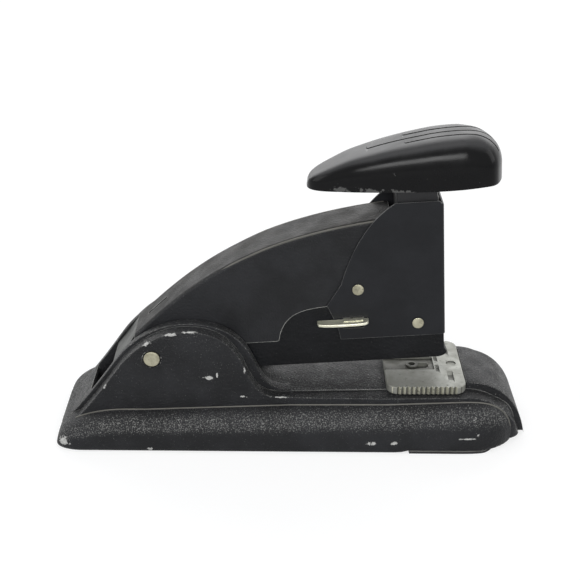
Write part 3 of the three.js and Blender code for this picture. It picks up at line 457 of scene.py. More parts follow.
def raysThatSeeWhite(w):
    path = w.nodes.new("ShaderNodeLightPath").outputs
    direct = w.math("MAXIMUM", path["Is Camera Ray"], path["Is Glossy Ray"])
    return w.math("MAXIMUM", direct, path["Is Transmission Ray"])


def clearTree(owner):
    owner.use_nodes = True
    owner.node_tree.nodes.clear()
    return Wiring(owner.node_tree)


world = bpy.data.worlds.new("studio")
scene.world = world
w = clearTree(world)
roomLight = w.node("ShaderNodeBackground", Color=(0.9, 0.95, 1, 1), Strength=0.22)
whiteWall = w.node("ShaderNodeBackground", Color=(1, 1, 1, 1), Strength=1.0)
pick = w.shaders("ShaderNodeMixShader", roomLight, whiteWall, Fac=raysThatSeeWhite(w))
w.node("ShaderNodeOutputWorld", Surface=pick.outputs[0])

settle()
bpy.ops.mesh.primitive_plane_add(size=8, location=(0, 0, -0.00005))
floor = bpy.context.object
floor.name = "floor"
paper = bpy.data.materials.new("paperFloor")
w = clearTree(paper)
lit = w.node("ShaderNodeBsdfDiffuse", Color=(0.36, 0.36, 0.36, 1))
glow = w.node("ShaderNodeEmission", Color=(1, 1, 1, 1), Strength=0.68)
dark = w.node("ShaderNodeEmission", Strength=0.0)
seen = w.shaders("ShaderNodeMixShader", dark, glow, Fac=raysThatSeeWhite(w))
both = w.shaders("ShaderNodeAddShader", lit, seen)
w.node("ShaderNodeOutputMaterial", Surface=both.outputs[0])
floor.data.materials.append(paper)
print("camera, light and floor are ready")


# Finishes

def groupOf(name, inputs, outputs):
    group = bpy.data.node_groups.new(name, "ShaderNodeTree")
    for label, value in inputs:
        kind = "NodeSocketVector" if isinstance(value, tuple) else "NodeSocketFloat"
        socket = group.interface.new_socket(name=label, in_out="INPUT", socket_type=kind)
        socket.default_value = value
    for label in outputs:
        group.interface.new_socket(name=label, in_out="OUTPUT", socket_type="NodeSocketFloat")
    entry = group.nodes.new("NodeGroupInput")
    leave = group.nodes.new("NodeGroupOutput")
    return group, entry, leave


def makeWrinkle():
    group, entry, leave = groupOf(
        "wrinkleGrain",
        [("Place", (0.0, 0.0, 0.0)), ("Scale", 1100.0), ("Sparkle", 1.0)],
        ["Height", "SparkleMask", "Patch"],
    )
    w = Wiring(group)
    place, scale = entry.outputs["Place"], entry.outputs["Scale"]
    rounded = {"feature": "SMOOTH_F1"}
    cells = w.node("ShaderNodeTexVoronoi", rounded, Vector=place, Scale=scale, Smoothness=0.35)
    coarse = w.noise(place, w.math("MULTIPLY", scale, 0.55), 3.0, 0.6)
    folds = w.math("ABSOLUTE", w.math("SUBTRACT", coarse, 0.5))
    fine = w.noise(place, w.math("MULTIPLY", scale, 2.2), 2.0, 0.6)
    pebbles = w.math("MULTIPLY", cells.outputs["Distance"], -0.8)
    height = w.math("ADD", pebbles, w.math("MULTIPLY", folds, 2.0))
    height = w.math("ADD", height, w.math("MULTIPLY", fine, 0.35))
    w.links.new(height, leave.inputs["Height"])
    # Grain tops turn grey in flecks, partly the crinkle paint's own grain and partly painted sparkle: most
    # of them lie where the paint slopes up to the lamps, where glints would fall.
    up = w.upward()
    sloping = w.math("SUBTRACT", w.ramp(up, -0.1, 0.4), w.ramp(up, 0.7, 1.0, 0.0, 0.4))
    more = w.math("MULTIPLY", sloping, entry.outputs["Sparkle"])
    limit = w.math("SUBTRACT", 0.65, w.math("MULTIPLY", more, 0.15))
    tops = w.noise(place, w.math("MULTIPLY", scale, 1.9), 3.0, 0.7)
    w.links.new(w.ramp(tops, limit, w.math("ADD", limit, 0.16)), leave.inputs["SparkleMask"])
    w.links.new(w.ramp(w.noise(place, 45.0, 4.0, 0.6), 0.38, 0.66), leave.inputs["Patch"])
    return group


def makeEdgeRub():
    group, entry, leave = groupOf(
        "edgeRub",
        [("Place", (0.0, 0.0, 0.0)), ("Radius", 0.0006), ("Amount", 0.5), ("Scale", 260.0)],
        ["Mask", "Crevice", "Line"],
    )
    w = Wiring(group)
    place = entry.outputs["Place"]
    geometry = w.nodes.new("ShaderNodeNewGeometry")
    rounded = w.node("ShaderNodeBevel", {"samples": 8}, Radius=entry.outputs["Radius"])
    turned = w.nodes.new("ShaderNodeVectorMath")
    turned.operation = "DOT_PRODUCT"
    w.links.new(rounded.outputs["Normal"], turned.inputs[0])
    w.links.new(geometry.outputs["Normal"], turned.inputs[1])
    edge = w.ramp(w.math("SUBTRACT", 1.0, turned.outputs["Value"]), 0.012, 0.1)
    hollow = w.node("ShaderNodeAmbientOcclusion", {"samples": 6, "only_local": True}, Distance=0.003)
    openAir = w.ramp(hollow.outputs["AO"], 0.5, 0.76)
    broken = w.noise(place, entry.outputs["Scale"], 4.0, 0.65)
    limit = w.math("SUBTRACT", 0.78, w.math("MULTIPLY", entry.outputs["Amount"], 0.42))
    worn = w.ramp(broken, limit, w.math("ADD", limit, 0.06))
    convex = w.math("MULTIPLY", edge, openAir)
    w.links.new(w.math("MULTIPLY", convex, worn), leave.inputs["Mask"])
    w.links.new(w.ramp(hollow.outputs["AO"], 0.75, 0.35), leave.inputs["Crevice"])
    # The unbroken light line along open convex edges is partly worn paint and partly a painted edge
    # highlight.
    fading = w.ramp(w.noise(place, 120.0, 3.0, 0.6), 0.3, 0.6, 0.45, 1.0)
    w.links.new(w.math("MULTIPLY", convex, fading), leave.inputs["Line"])
    return group


def makeDust():
    inputs = [("Place", (0.0, 0.0, 0.0)), ("Crevice", 0.0), ("Amount", 0.5)]
    group, entry, leave = groupOf("dust", inputs, ["Mask"])
    w = Wiring(group)
    up = w.upward()
    cloudy = w.noise(entry.outputs["Place"], 60.0, 5.0, 0.65)
    soft = w.ramp(cloudy, 0.3, 0.75, 0.35, 1.0)
    lying = w.math("MULTIPLY", w.ramp(up, 0.35, 1.0), soft)
    caught = w.math("MULTIPLY", entry.outputs["Crevice"], w.ramp(up, -0.1, 0.6))
    total = w.math("MULTIPLY", w.math("ADD", lying, caught), entry.outputs["Amount"], clamp=True)
    w.links.new(total, leave.inputs["Mask"])
    return group


wrinkleGrain, edgeRub, dust = makeWrinkle(), makeEdgeRub(), makeDust()


def chipMask(w, place, chips):
    total = None
    ragged = w.node("ShaderNodeTexNoise", Vector=place, Scale=800.0, Detail=3.0, Roughness=0.6)
    jagged = w.math("MULTIPLY", w.math("SUBTRACT", ragged.outputs["Fac"], 0.5), 2.6)
    for x, y, z, rx, ry, rz in chips:
        mapped = w.node("ShaderNodeMapping", {"vector_type": "TEXTURE"}, Vector=place)
        mapped.inputs["Location"].default_value = ((x - 1) * 0.001, y * 0.001, z * 0.001)
        mapped.inputs["Scale"].default_value = (rx * 0.001, ry * 0.001, rz * 0.001)
        far = w.nodes.new("ShaderNodeVectorMath")
        far.operation = "LENGTH"
        w.links.new(mapped.outputs["Vector"], far.inputs[0])
        spot = w.ramp(w.math("ADD", far.outputs["Value"], jagged), 0.92, 0.7)
        total = spot if total is None else w.math("MAXIMUM", total, spot)
    return total


def finishOf(name, gloss=0.5):
    look = bpy.data.materials.new(name)
    w = clearTree(look)
    shader = w.node("ShaderNodeBsdfPrincipled", Specular_IOR_Level=gloss)
    w.node("ShaderNodeOutputMaterial", Surface=shader.outputs[0])
    return look, w, shader


def bumpOf(w, height, distance, strength=1.0):
    made = w.node("ShaderNodeBump", Strength=strength, Distance=distance, Height=height)
    return made.outputs["Normal"]


def wrinklePaint(name, dusty, rub, grain=1100.0, depth=0.0002, colour=(0.0085, 0.0088, 0.0098), sparkleShare=1.0,
                 sparkle=1.0, chips=(), rust=(), dimming=(), gloss=0.17):
    look, w, shader = finishOf(name, gloss)
    place = w.place()
    grainNode = w.group(wrinkleGrain, Place=place, Scale=grain, Sparkle=sparkle)
    rubNode = w.group(edgeRub, Place=place, Amount=rub)
    dustNode = w.group(dust, Place=place, Crevice=rubNode.outputs["Crevice"], Amount=dusty)
    patch = w.mixColour(grainNode.outputs["Patch"], (*colour, 1), tuple(c * 1.8 for c in colour) + (1,))
    dusted = w.mixColour(dustNode.outputs["Mask"], patch, (0.07, 0.066, 0.058, 1))
    # Grey flecks on the grain tops are mixed into the colour, partly as painted sparkle.
    tops = w.math("MULTIPLY", grainNode.outputs["SparkleMask"], sparkleShare)
    sparkled = w.mixColour(tops, dusted, (0.19, 0.19, 0.183, 1))
    # Edges take a light grey line, partly rubbed paint and partly a painted edge highlight.
    line, bare = w.math("MULTIPLY", rubNode.outputs["Line"], 0.85), rubNode.outputs["Mask"]
    if dimming:
        undimmed = w.math("SUBTRACT", 1.0, chipMask(w, place, dimming))
        line, bare = w.math("MULTIPLY", line, undimmed), w.math("MULTIPLY", bare, undimmed)
    lined = w.mixColour(line, sparkled, (0.38, 0.38, 0.36, 1))
    if chips:
        bare = w.math("MAXIMUM", bare, chipMask(w, place, chips))
    tint = w.mixColour(w.noise(place, 700.0, 3.0), (0.2, 0.2, 0.195, 1), (0.62, 0.62, 0.6, 1))
    final = w.mixColour(bare, lined, tint)
    if rust:
        final = w.mixColour(chipMask(w, place, rust), final, (0.2, 0.075, 0.05, 1))
    metal = w.math("MULTIPLY", bare, 0.3)
    uneven = w.ramp(w.noise(place, 130.0, 3.0), 0.3, 0.7, 0.44, 0.6)
    dull = w.math("ADD", uneven, w.math("MULTIPLY", dustNode.outputs["Mask"], 0.2))
    height = w.math("SUBTRACT", grainNode.outputs["Height"], w.math("MULTIPLY", bare, 0.9))
    w.feed(shader, Base_Color=final, Metallic=metal, Roughness=dull, Normal=bumpOf(w, height, depth))
    return look


def smoothPaint(name, colour=(0.0105, 0.011, 0.0125), rough=0.42, rub=0.25, dusty=0.2,
                ripple=0.00004, tinge=(0.05, 0.052, 0.046), line=0.6):
    look, w, shader = finishOf(name, 0.13)
    place = w.place()
    rubNode = w.group(edgeRub, Place=place, Amount=rub, Radius=0.0004)
    dustNode = w.group(dust, Place=place, Crevice=rubNode.outputs["Crevice"], Amount=dusty)
    cloudy = w.ramp(w.noise(place, 35.0, 4.0, 0.6), 0.35, 0.7)
    patch = w.mixColour(cloudy, (*colour, 1), tuple(c * 1.5 for c in colour) + (1,))
    dusted = w.mixColour(dustNode.outputs["Mask"], patch, (*tinge, 1))
    # Edges take a light grey line, partly rubbed paint and partly a painted edge highlight.
    lined = w.mixColour(w.math("MULTIPLY", rubNode.outputs["Line"], line), dusted, (0.2, 0.2, 0.195, 1))
    final = w.mixColour(rubNode.outputs["Mask"], lined, (0.3, 0.3, 0.28, 1))
    metal = w.math("MULTIPLY", rubNode.outputs["Mask"], 0.4)
    uneven = w.ramp(w.noise(place, 90.0, 4.0), 0.3, 0.7, rough - 0.05, rough + 0.08)
    fine = w.math("ADD", w.noise(place, 1500.0, 2.0), w.noise(place, 400.0, 2.0))
    w.feed(shader, Base_Color=final, Metallic=metal, Roughness=uneven, Normal=bumpOf(w, fine, ripple))
    return look


def glossPlastic(name, scuffed):
    look, w, shader = finishOf(name, 0.12)
    place = w.place()
    hollow = w.node("ShaderNodeAmbientOcclusion", {"samples": 8, "only_local": True}, Distance=0.0012)
    dustNode = w.group(dust, Place=place, Crevice=0.0, Amount=0.1)
    smear = w.ramp(w.noise(place, 28.0, 5.0, 0.6), 0.4, 0.72)
    body = w.mixColour(smear, (0.003, 0.003, 0.0034, 1), (0.006, 0.006, 0.0064, 1))
    # A painted grey sheen, standing in for the reflection of the light above, covers what faces up, except
    # inside the three lines.
    paintedSheen = w.ramp(w.math("ADD", w.upward(), w.ramp(smear, 0.0, 1.0, -0.04, 0.04)), 0.42, 0.76)
    paintedSheen = w.math("MULTIPLY", paintedSheen, w.ramp(hollow.outputs["AO"], 0.6, 0.9))
    sheened = w.mixColour(w.math("MULTIPLY", paintedSheen, 0.85), body, (0.043, 0.043, 0.0445, 1))
    sheened = w.mixColour(dustNode.outputs["Mask"], sheened, (0.14, 0.14, 0.14, 1))
    scuffs = w.ramp(w.noise(place, 520.0, 3.0, 0.7), 0.66, 0.72)
    rare = w.ramp(w.noise(place, 70.0, 2.0), 0.52, 0.66)
    marks = w.math("MULTIPLY", scuffs, rare)
    marks = w.math("MAXIMUM", marks, w.math("MULTIPLY", chipMask(w, place, scuffed), 0.7))
    final = w.mixColour(w.math("MULTIPLY", marks, 0.6), sheened, (0.18, 0.18, 0.175, 1))
    metal = w.math("MULTIPLY", paintedSheen, 0.35)
    polish = w.ramp(w.noise(place, 60.0, 5.0, 0.65), 0.3, 0.75, 0.15, 0.25)
    polish = w.math("ADD", polish, w.math("MULTIPLY", paintedSheen, 0.22))
    dents = w.math("ADD", w.noise(place, 90.0, 3.0), w.math("MULTIPLY", marks, -0.3))
    bump = bumpOf(w, dents, 0.0001, 0.5)
    w.feed(shader, Base_Color=final, Metallic=metal, Roughness=polish, Normal=bump)
    return look


def wornMetal(name, bright, dull, rough, pits=0.5, scale=240.0, metal=0.85):
    look, w, shader = finishOf(name)
    place = w.place()
    rubNode = w.group(edgeRub, Place=place, Amount=0.7, Radius=0.0004)
    cloudy = w.ramp(w.noise(place, scale * 0.3, 5.0, 0.65), 0.3, 0.7)
    spots = w.math("MULTIPLY", w.ramp(w.noise(place, scale * 2.2, 3.0, 0.7), 0.58, 0.72), pits)
    body = w.mixColour(cloudy, (*bright, 1), (*dull, 1))
    stained = w.mixColour(spots, body, tuple(c * 0.35 for c in dull) + (1,))
    # The metal is darker in the crevices that ambient occlusion finds.
    dimming = w.math("MULTIPLY", rubNode.outputs["Crevice"], 0.75)
    dimmed = w.mixColour(dimming, stained, tuple(c * 0.2 for c in dull) + (1,))
    brightEdge = tuple(min(1, c * 1.25) for c in bright)
    final = w.mixColour(w.math("MULTIPLY", rubNode.outputs["Mask"], 0.5), dimmed, brightEdge + (1,))
    patchy = w.ramp(cloudy, 0.0, 1.0, metal, metal - 0.2)
    uneven = w.ramp(w.noise(place, scale, 4.0), 0.3, 0.75, rough - 0.06, rough + 0.16)
    height = w.math("SUBTRACT", w.noise(place, scale * 3.0, 3.0), w.math("MULTIPLY", spots, 0.8))
    bump = bumpOf(w, height, 0.00006, 0.7)
    w.feed(shader, Base_Color=final, Metallic=patchy, Roughness=uneven, Normal=bump)
    return look


# Each chip or stain is a place and three half sizes.
baseChips = [
    (-92.6, -27, 4.0, 2.6, 3, 2.2), (-57, -29, 1.6, 1.3, 1.6, 0.8),
    (-33, -20.5, 29.8, 2.2, 0.8, 0.9), (-29.4, -20.5, 31.0, 0.5, 0.8, 1.4),
    (-48.6, -20.4, 49.4, 4.4, 1.2, 0.7), (-39, -20.4, 50.4, 4.2, 1.2, 0.5),
    (-58.2, -20.2, 45.6, 2.6, 1.4, 1.2), (-18.2, -20.4, 34.4, 0.6, 1.2, 2.6),
    (-75.4, -19.6, 27.2, 1.0, 1.4, 2.2), (-80.2, -19.4, 20.8, 1.0, 1.4, 1.0),
    (-4, -20.6, 21, 3.6, 1.0, 0.5), (-19, -20.6, 21.2, 1.4, 1.1, 0.5),
    (33, -30.6, 4.7, 2.6, 1.4, 0.9), (42, -30.6, 5, 1.6, 1.4, 0.8),
    (74.4, -29.8, 15.6, 0.8, 2, 0.8), (75.8, -30.4, 8.9, 0.8, 2, 1.0), (72, -30.6, 7.2, 3.4, 1.6, 0.45),
    (85.4, -26, 1.2, 4.2, 3, 0.9),
]
# Around the hinge pin the edge lines and wear are left out.
pinDimming = [(-55.4, -22, 38.4, 6, 8, 6)]
coverRust = [(-42.5, -9.6, 70.5, 5.5, 1.6, 3.4)]
knobScuffs = [(20, -8, 106.6, 4, 5, 1.3), (31, -10, 106.8, 6, 5, 1.5), (44, -12, 107.2, 6, 5, 1.2)]
looks = {
    "base": wrinklePaint(
        "wrinklePaintCast", dusty=0.06, rub=0.42, chips=baseChips, dimming=pinDimming,
    ),
    "cover": wrinklePaint(
        "wrinklePaintSheet", grain=1250.0, depth=0.00015, dusty=0.4, sparkleShare=0.6, sparkle=0.5, rub=0.3,
        rust=coverRust,
    ),
    "magazine": wrinklePaint(
        "wrinklePaintMagazine", grain=1000.0, depth=0.0002, colour=(0.005, 0.0053, 0.006), dusty=0.1,
        sparkleShare=0.6, rub=0.3, gloss=0.12,
    ),
    "housing": smoothPaint("satinPaintHead"),
    "tail": smoothPaint(
        "satinPaintTail", colour=(0.02, 0.022, 0.02), dusty=0.75, tinge=(0.1, 0.105, 0.092), rough=0.36,
    ),
    "plunger": smoothPaint("satinPaintPlunger", colour=(0.02, 0.02, 0.021), rough=0.5),
    # Light grey bead finish: dust along the rail seams, and a painted highlight on the crest seams.
    "line": smoothPaint(
        "dustLineAndPaintedHighlight", colour=(0.09, 0.088, 0.08), rough=0.6, dusty=0.6, tinge=(0.24, 0.23, 0.2),
    ),
    "knob": glossPlastic("glossPlasticKnob", knobScuffs),
    "nickel": wornMetal(
        "wornNickel", (0.3, 0.305, 0.28), (0.2, 0.2, 0.175), rough=0.5, pits=0.7, scale=300.0, metal=0.6,
    ),
    # Dark nickel for the anvil rivet, also laid on the anvil plate as painted shade.
    "darkNickelAndPaintedShade": wornMetal(
        "darkNickelAndPaintedShade", (0.13, 0.13, 0.115), (0.07, 0.07, 0.06), rough=0.55, pits=0.7, scale=300.0,
        metal=0.5,
    ),
    "brass": wornMetal(
        "agedPlating", (0.42, 0.4, 0.3), (0.2, 0.19, 0.135), rough=0.34, scale=480.0, pits=0.7,
    ),
    # Bright plating for the latch tab, also laid on the anvil's tooth flanks as a painted highlight.
    "tab": wornMetal("platedTabAndToothHighlight", (0.8, 0.79, 0.66), (0.55, 0.54, 0.42), rough=0.32, scale=420.0),
    "steel": wornMetal("darkSteel", (0.3, 0.3, 0.3), (0.2, 0.195, 0.185), rough=0.36),
    "spring": wornMetal("springSteel", (0.36, 0.36, 0.37), (0.22, 0.22, 0.22), rough=0.28, scale=500.0),
    "underlay": smoothPaint(
        "underlay", colour=(0.02, 0.02, 0.02), rough=0.85, rub=0.3, dusty=1.0, ripple=0.00015,
        tinge=(0.3, 0.3, 0.28), line=0.9,
    ),
}
print("finishes are ready")


# Base casting

baseSizes = {
    "heel": -96, "tip": 97.4, "under": 0.2, "underNose": 1.2, "liftsAt": (44.5, 48.5),
    "railHalf": (28.2, 31), "railTop": (14, 20.6), "bulge": 8, "widest": 0.44,
    "heelLength": 11, "heelRise": 28, "noseLength": 27.5, "noseSetBack": 3.2, "nosePower": 3.2,
    "heelShares": (0.78, 0.04), "noseShares": (0.22, 0.1),
    "footRound": 1.8, "footTuck": 0.9,
    "platform": 21.8, "ridge": 24.8, "ridgeStart": 72.05, "heelTop": 5.2, "heelSetBack": 0.8,
    "earGap": 10.7, "wellFloor": 13.4, "well": (-82, -30.4), "earFoot": 0.0,
    "edge": 0.32, "brink": 0.5, "bead": 0.36, "lipRound": 1.4,
    "slopeHalf": 11.4, "deckDrop": 0.1, "ledgeInner": 12.2, "noseInset": 0.03,
    "pinHole": 2.55, "pinSeat": 3.75, "pinSeatAt": 29.5, "rivetHole": 2.3, "rivetAt": 51.15,
    "seamStart": -88, "seamGap": 0.9, "seamCount": 203,
}
# The side curve's points, with x counted from the hinge pin.
sidePoints = {"shoulder": (-16.1, 33.6), "crown": (14.4, 51.4), "brow": (39.9, 36.5), "foot": 55.4}
ledgeSteps = {"crown": 1, "brow": 3.4, "heel": 1.2, "nose": 2.3}
ledgePlan = {"widths": [(-96, 18.6), (-58.65, 20.5), (0, 20.5), (39.45, 22.7)], "bend": 82.1, "end": 95.1,
             "reach": 13, "draw": 7.5}
spinePlan = [(-96, 13), (-41, 15.2)]
underlaySizes = {"height": 1.1, "rear": 2.5, "front": 0.2, "step": 47.5, "start": 47, "end": 86,
                 "recess": 2.2, "recessEnd": 45, "recessTop": 1.3, "taper": (78, 8, 0.25)}
rearShares, shoulderShares = (0.33, 0.22, 0.74, 0.7), (0.15, 0.37, 0.5, 1)
crownShares, browShares = (0.51, 0, 0.82, 0.36), (0.26, 0.61, 0.35, 1)
ridgeShares, ledgeNoseShares = (0.52, 0, 0.89, 0.35), (0.48, 0, 0.85, 0.4)


def ovalFall(share, power):
    return math.sqrt(1 - min(max(share, 0), 1) ** power)


def mix(a, b, share):
    return a + (b - a) * share


def railRing(x):
    s = baseSizes
    heelX, noseX = s["heel"], s["tip"] - s["noseSetBack"]
    share = (x - heelX) / (noseX - heelX)
    under = along([(s["liftsAt"][0], s["under"]), (s["liftsAt"][1], s["underNose"])], x)
    heel = ovalFall((heelX + s["heelLength"] - x) / s["heelLength"], 2)
    rise = ovalFall((heelX + s["heelRise"] - x) / s["heelRise"], 2)
    nose = ovalFall((x - noseX + s["noseLength"]) / s["noseLength"], s["nosePower"])
    half = mix(*s["railHalf"], share) * mix(s["heelShares"][0], 1, heel) * mix(s["noseShares"][0], 1, nose)
    fall = mix(s["heelShares"][1], 1, rise) * mix(s["noseShares"][1], 1, nose)
    top = s["underNose"] + (mix(*s["railTop"], share) - s["underNose"]) * fall
    widest = under + (top - under) * s["widest"]
    foot = min(s["footRound"], widest - under)
    ring = []
    for i in range(5):
        a = math.radians(90 * i / 4)
        ring.append((half - s["footTuck"] * (1 - math.sin(a)), under + foot * (1 - math.cos(a))))
    for i in range(15):
        a = math.radians(90 * i / 14)
        ring.append((half - s["bulge"] * (1 - math.cos(a)), mix(widest, top, math.sin(a))))
    ring += [(-y, z) for y, z in reversed(ring)]
    return [(x, y, z) for y, z in ring]


def bandPath(top, ridge, crown=0, brow=0, heel=0, nose=0):
    s, p, pin = baseSizes, sidePoints, arm["hinge"][0]
    shoulder = (pin + p["shoulder"][0] + heel, p["shoulder"][1] - heel)
    over = (pin + p["crown"][0], p["crown"][1] - crown)
    ahead = (pin + p["brow"][0] - brow, p["brow"][1] - crown)
    path = [(s["heel"] + s["heelSetBack"] + heel, s["heelTop"] - heel)]
    path += curve(path[-1], shoulder, rearShares, 40)
    path += curve(path[-1], over, shoulderShares, 40)
    path += curve(path[-1], ahead, crownShares, 40)
    path += curve(path[-1], (pin + p["foot"] - brow, top), browShares, 40)
    if ridge > s["platform"]:
        path.append((s["ridgeStart"], top))
        path += arc(s["ridgeStart"] + s["brink"], ridge - s["brink"], s["brink"], 180, 90, 6)
    else:
        path.append((s["ridgeStart"] + 0.01, ridge))
    shares = ridgeShares if ridge > s["platform"] else ledgeNoseShares
    path += curve(path[-1], (s["tip"] - nose, s["underNose"]), shares, 50)
    return path


def upwards(points, i):
    a, b = points[max(0, i - 1)], points[min(len(points) - 1, i + 1)]
    length = math.dist(a, b)
    return -(b[1] - a[1]) / length, (b[0] - a[0]) / length


def band(path, inner, outer, roundInner, roundOuter, gap=0.7):
    points = evenly(path, gap)
    bottom, thin, steps = 2.0, 0.2, 4
    rings = []
    for i, (x, z) in enumerate(points):
        nx, nz = upwards(points, i)
        near, far = inner(x), outer(x)
        low = min(bottom, z - thin)
        ring = [(x, near, low)]
        for full, wall, sign in ((roundInner, near, 1), (roundOuter, far, -1)):
            r = min(full, (z - low) * 0.8)
            corner = []
            for k in range(steps + 1):
                turn = math.radians(90 * k / steps)
                depth = r * (1 - math.sin(turn))
                out = wall + sign * r * (1 - math.cos(turn))
                corner.append((x - nx * depth, out, z - nz * depth))
            ring += corner[::sign]
        ring.append((x, far, low))
        rings.append(ring)
    return loft(rings)


def ledgeHalf(x):
    plan = ledgePlan
    if x > plan["bend"]:
        t = 1 - math.sqrt(max(0.0, (plan["end"] - x) / plan["reach"]))
        return plan["widths"][-1][1] - plan["draw"] * t * t
    return along(plan["widths"], x)


def spineHalf(x):
    return along(spinePlan, x)


def railXs():
    s = baseSizes
    heelX, noseX = s["heel"], s["tip"] - s["noseSetBack"]
    xs = [heelX + s["heelRise"] * (1 - math.cos(math.radians(90 * i / 24))) for i in range(24)]
    xs += [mix(heelX + s["heelRise"], noseX - s["noseLength"], i / 44) for i in range(44)]
    return xs + [noseX - s["noseLength"] * (1 - math.sin(math.radians(90 * i / 30))) for i in range(31)]


def railOutline(inset, end, start=None):
    near = []
    for x in railXs():
        if (start is None or x >= start) and x <= end:
            near.append((x, max(point[1] for point in railRing(x)) - inset))
    if start is None:
        near = [(x + inset * max(0.0, 1 - i / 12), y) for i, (x, y) in enumerate(near)]
    return [(x, -y) for x, y in near] + [(x, y) for x, y in reversed(near)]


def openEdges(piece):
    counted = {}
    for face in piece.data.polygons:
        for key in face.edge_keys:
            counted[key] = counted.get(key, 0) + 1
    return sum(1 for many in counted.values() if many != 2)


def makeSeams(foot):
    s = baseSizes
    beads = []
    for side, name in ((-1, "railSeamNear"), (1, "railSeamFar")):
        xs = [s["seamStart"] + s["seamGap"] * i for i in range(s["seamCount"])]
        spots = [(x, side * (ledgeHalf(x) + 0.2)) for x in xs]
        beads.append((name, tubeOf(layOn(foot, spots), s["bead"])))
    return beads


def makeSides(spinePath):
    s = baseSizes
    ledgePath = bandPath(s["platform"] - 1, s["platform"], **ledgeSteps)
    ears = [p for p in spinePath if p[0] <= s["earFoot"] + 0.01]
    ears.append((s["earFoot"] + 0.8, s["platform"] - 0.3))
    pieces = []
    for side in (-1, 1):
        made = band(ledgePath, lambda x: s["ledgeInner"], ledgeHalf, 0.3, s["edge"])
        ear = band(ears, lambda x: s["earGap"], spineHalf, s["edge"], s["edge"])
        for piece in (made, ear):
            if side < 0:
                piece.data.transform(Matrix.Diagonal((1, -1, 1, 1)))
                if volumeOf(piece) < 0:
                    piece.data.flip_normals()
            pieces.append(piece)
    return pieces


def makeSlope(spinePath):
    s = baseSizes
    rear = [p for p in spinePath if p[0] <= s["well"][0]]
    lipX, lipZ = rear[-1]
    rear = [p for p in rear if p[0] <= lipX - s["lipRound"] * 0.8]
    rear.append((lipX - s["lipRound"] * 0.35, lipZ - s["lipRound"] * 0.55))
    rear.append((lipX - 0.02, lipZ - s["lipRound"] * 1.5))
    return band(rear, lambda x: -s["slopeHalf"], lambda x: s["slopeHalf"], 0.2, 0.2, gap=0.5)


def makeDeck():
    s = baseSizes
    top = s["platform"] - s["deckDrop"]
    path = [(s["well"][1], top), (s["earFoot"] - 6, top), (s["earFoot"] + 0.6, s["platform"] - 0.9)]
    return band(path, lambda x: -s["slopeHalf"], lambda x: s["slopeHalf"], 0.2, 0.2)


def makeNose(spinePath):
    s = baseSizes
    inset = s["noseInset"]
    front = [(s["earFoot"] - 8, s["platform"] - 0.3)]
    front += [(x, z - inset) for x, z in spinePath if x >= s["earFoot"] - 0.6]
    nose = band(front, lambda x: inset - spineHalf(x), lambda x: spineHalf(x) - inset,
                s["edge"], s["edge"], gap=0.5)
    toTriangles(nose)
    return carve(nose, rivetBore())


def rivetBore():
    return rodOf(baseSizes["rivetHole"], (baseSizes["rivetAt"], 0, 20), 14, "Z")


def makeUnderlay():
    u = underlaySizes
    start, reach, draw = u["taper"]
    front = []
    for x, y in railOutline(u["front"], u["end"], u["start"]):
        front.append((x, y * (1 - draw * max(0, (x - start) / reach) ** 2)))
    pad = weldOn(
        planPlate(railOutline(u["rear"], u["step"]), 0, u["height"]),
        planPlate(front, 0, u["height"]),
    )
    soften(pad, 0.18, 2, 50)
    seat(pad, "underlay", "base", looks["underlay"], ["base_pad"], onDesk, angle=40)


def makeBase():
    s, u, pin = baseSizes, underlaySizes, arm["hinge"]
    foot = loft([railRing(x) for x in railXs()])
    beads = makeSeams(foot)
    foot = carve(foot, blockOf(*s["well"], -s["earGap"], s["earGap"], s["wellFloor"], 40))
    spinePath = bandPath(s["platform"], s["ridge"])
    pieces = makeSides(spinePath) + [makeSlope(spinePath), makeDeck()]
    nose = makeNose(spinePath)
    foot = combine(foot, pieces, "UNION", split=True)
    toTriangles(foot)
    seats = [rodOf(s["pinSeat"], (pin[0], side * s["pinSeatAt"], pin[2]), 20) for side in (1, -1)]
    recess = planPlate(railOutline(u["recess"], u["recessEnd"]), -1, u["recessTop"])
    foot = carve(foot, rodOf(s["pinHole"], (pin[0], 0, pin[2]), 60), *seats, rivetBore(), recess)

    # The nose is a closed shell of its own, because an exact union with it leaves open edges.
    settle(nose)
    foot.select_set(True)
    bpy.context.view_layer.objects.active = foot
    bpy.ops.object.join()
    print("base casting", len(foot.data.polygons), "faces, open edges", openEdges(foot))
    seat(foot, "baseCasting", "base", looks["base"], ["base_casting"], onDesk,
         angle=35, weighted=False)
    for name, bead in beads:
        seat(bead, name, "base", looks["line"], [], onDesk, angle=80, weighted=False)
    makeUnderlay()


makeBase()


# Hinge pin and cross pins, each with two domed heads

def headedPin(name, x, z, radius, head, thickness, under, body, stands, dome, where=None):
    rod = rodOf(radius, (x, 0, z), 2 * under + 0.4, sides=48)
    heads = []
    for side in (-1, 1):
        disc = rodOf(head, (x, side * (under + thickness / 2), z), thickness, sides=72)
        pickFaces(disc, lambda face: face.normal.y * side > 0.9)
        for share in (0.5, 0.33, 0.17):
            bpy.ops.mesh.inset(thickness=head * 0.24, depth=dome * share)
        bpy.ops.object.mode_set(mode="OBJECT")
        soften(disc, min(0.22, thickness * 0.3), 3, 50)
        heads.append(disc)
    return seat(weldOn(rod, *heads), name, body, looks["brass"], stands, where)


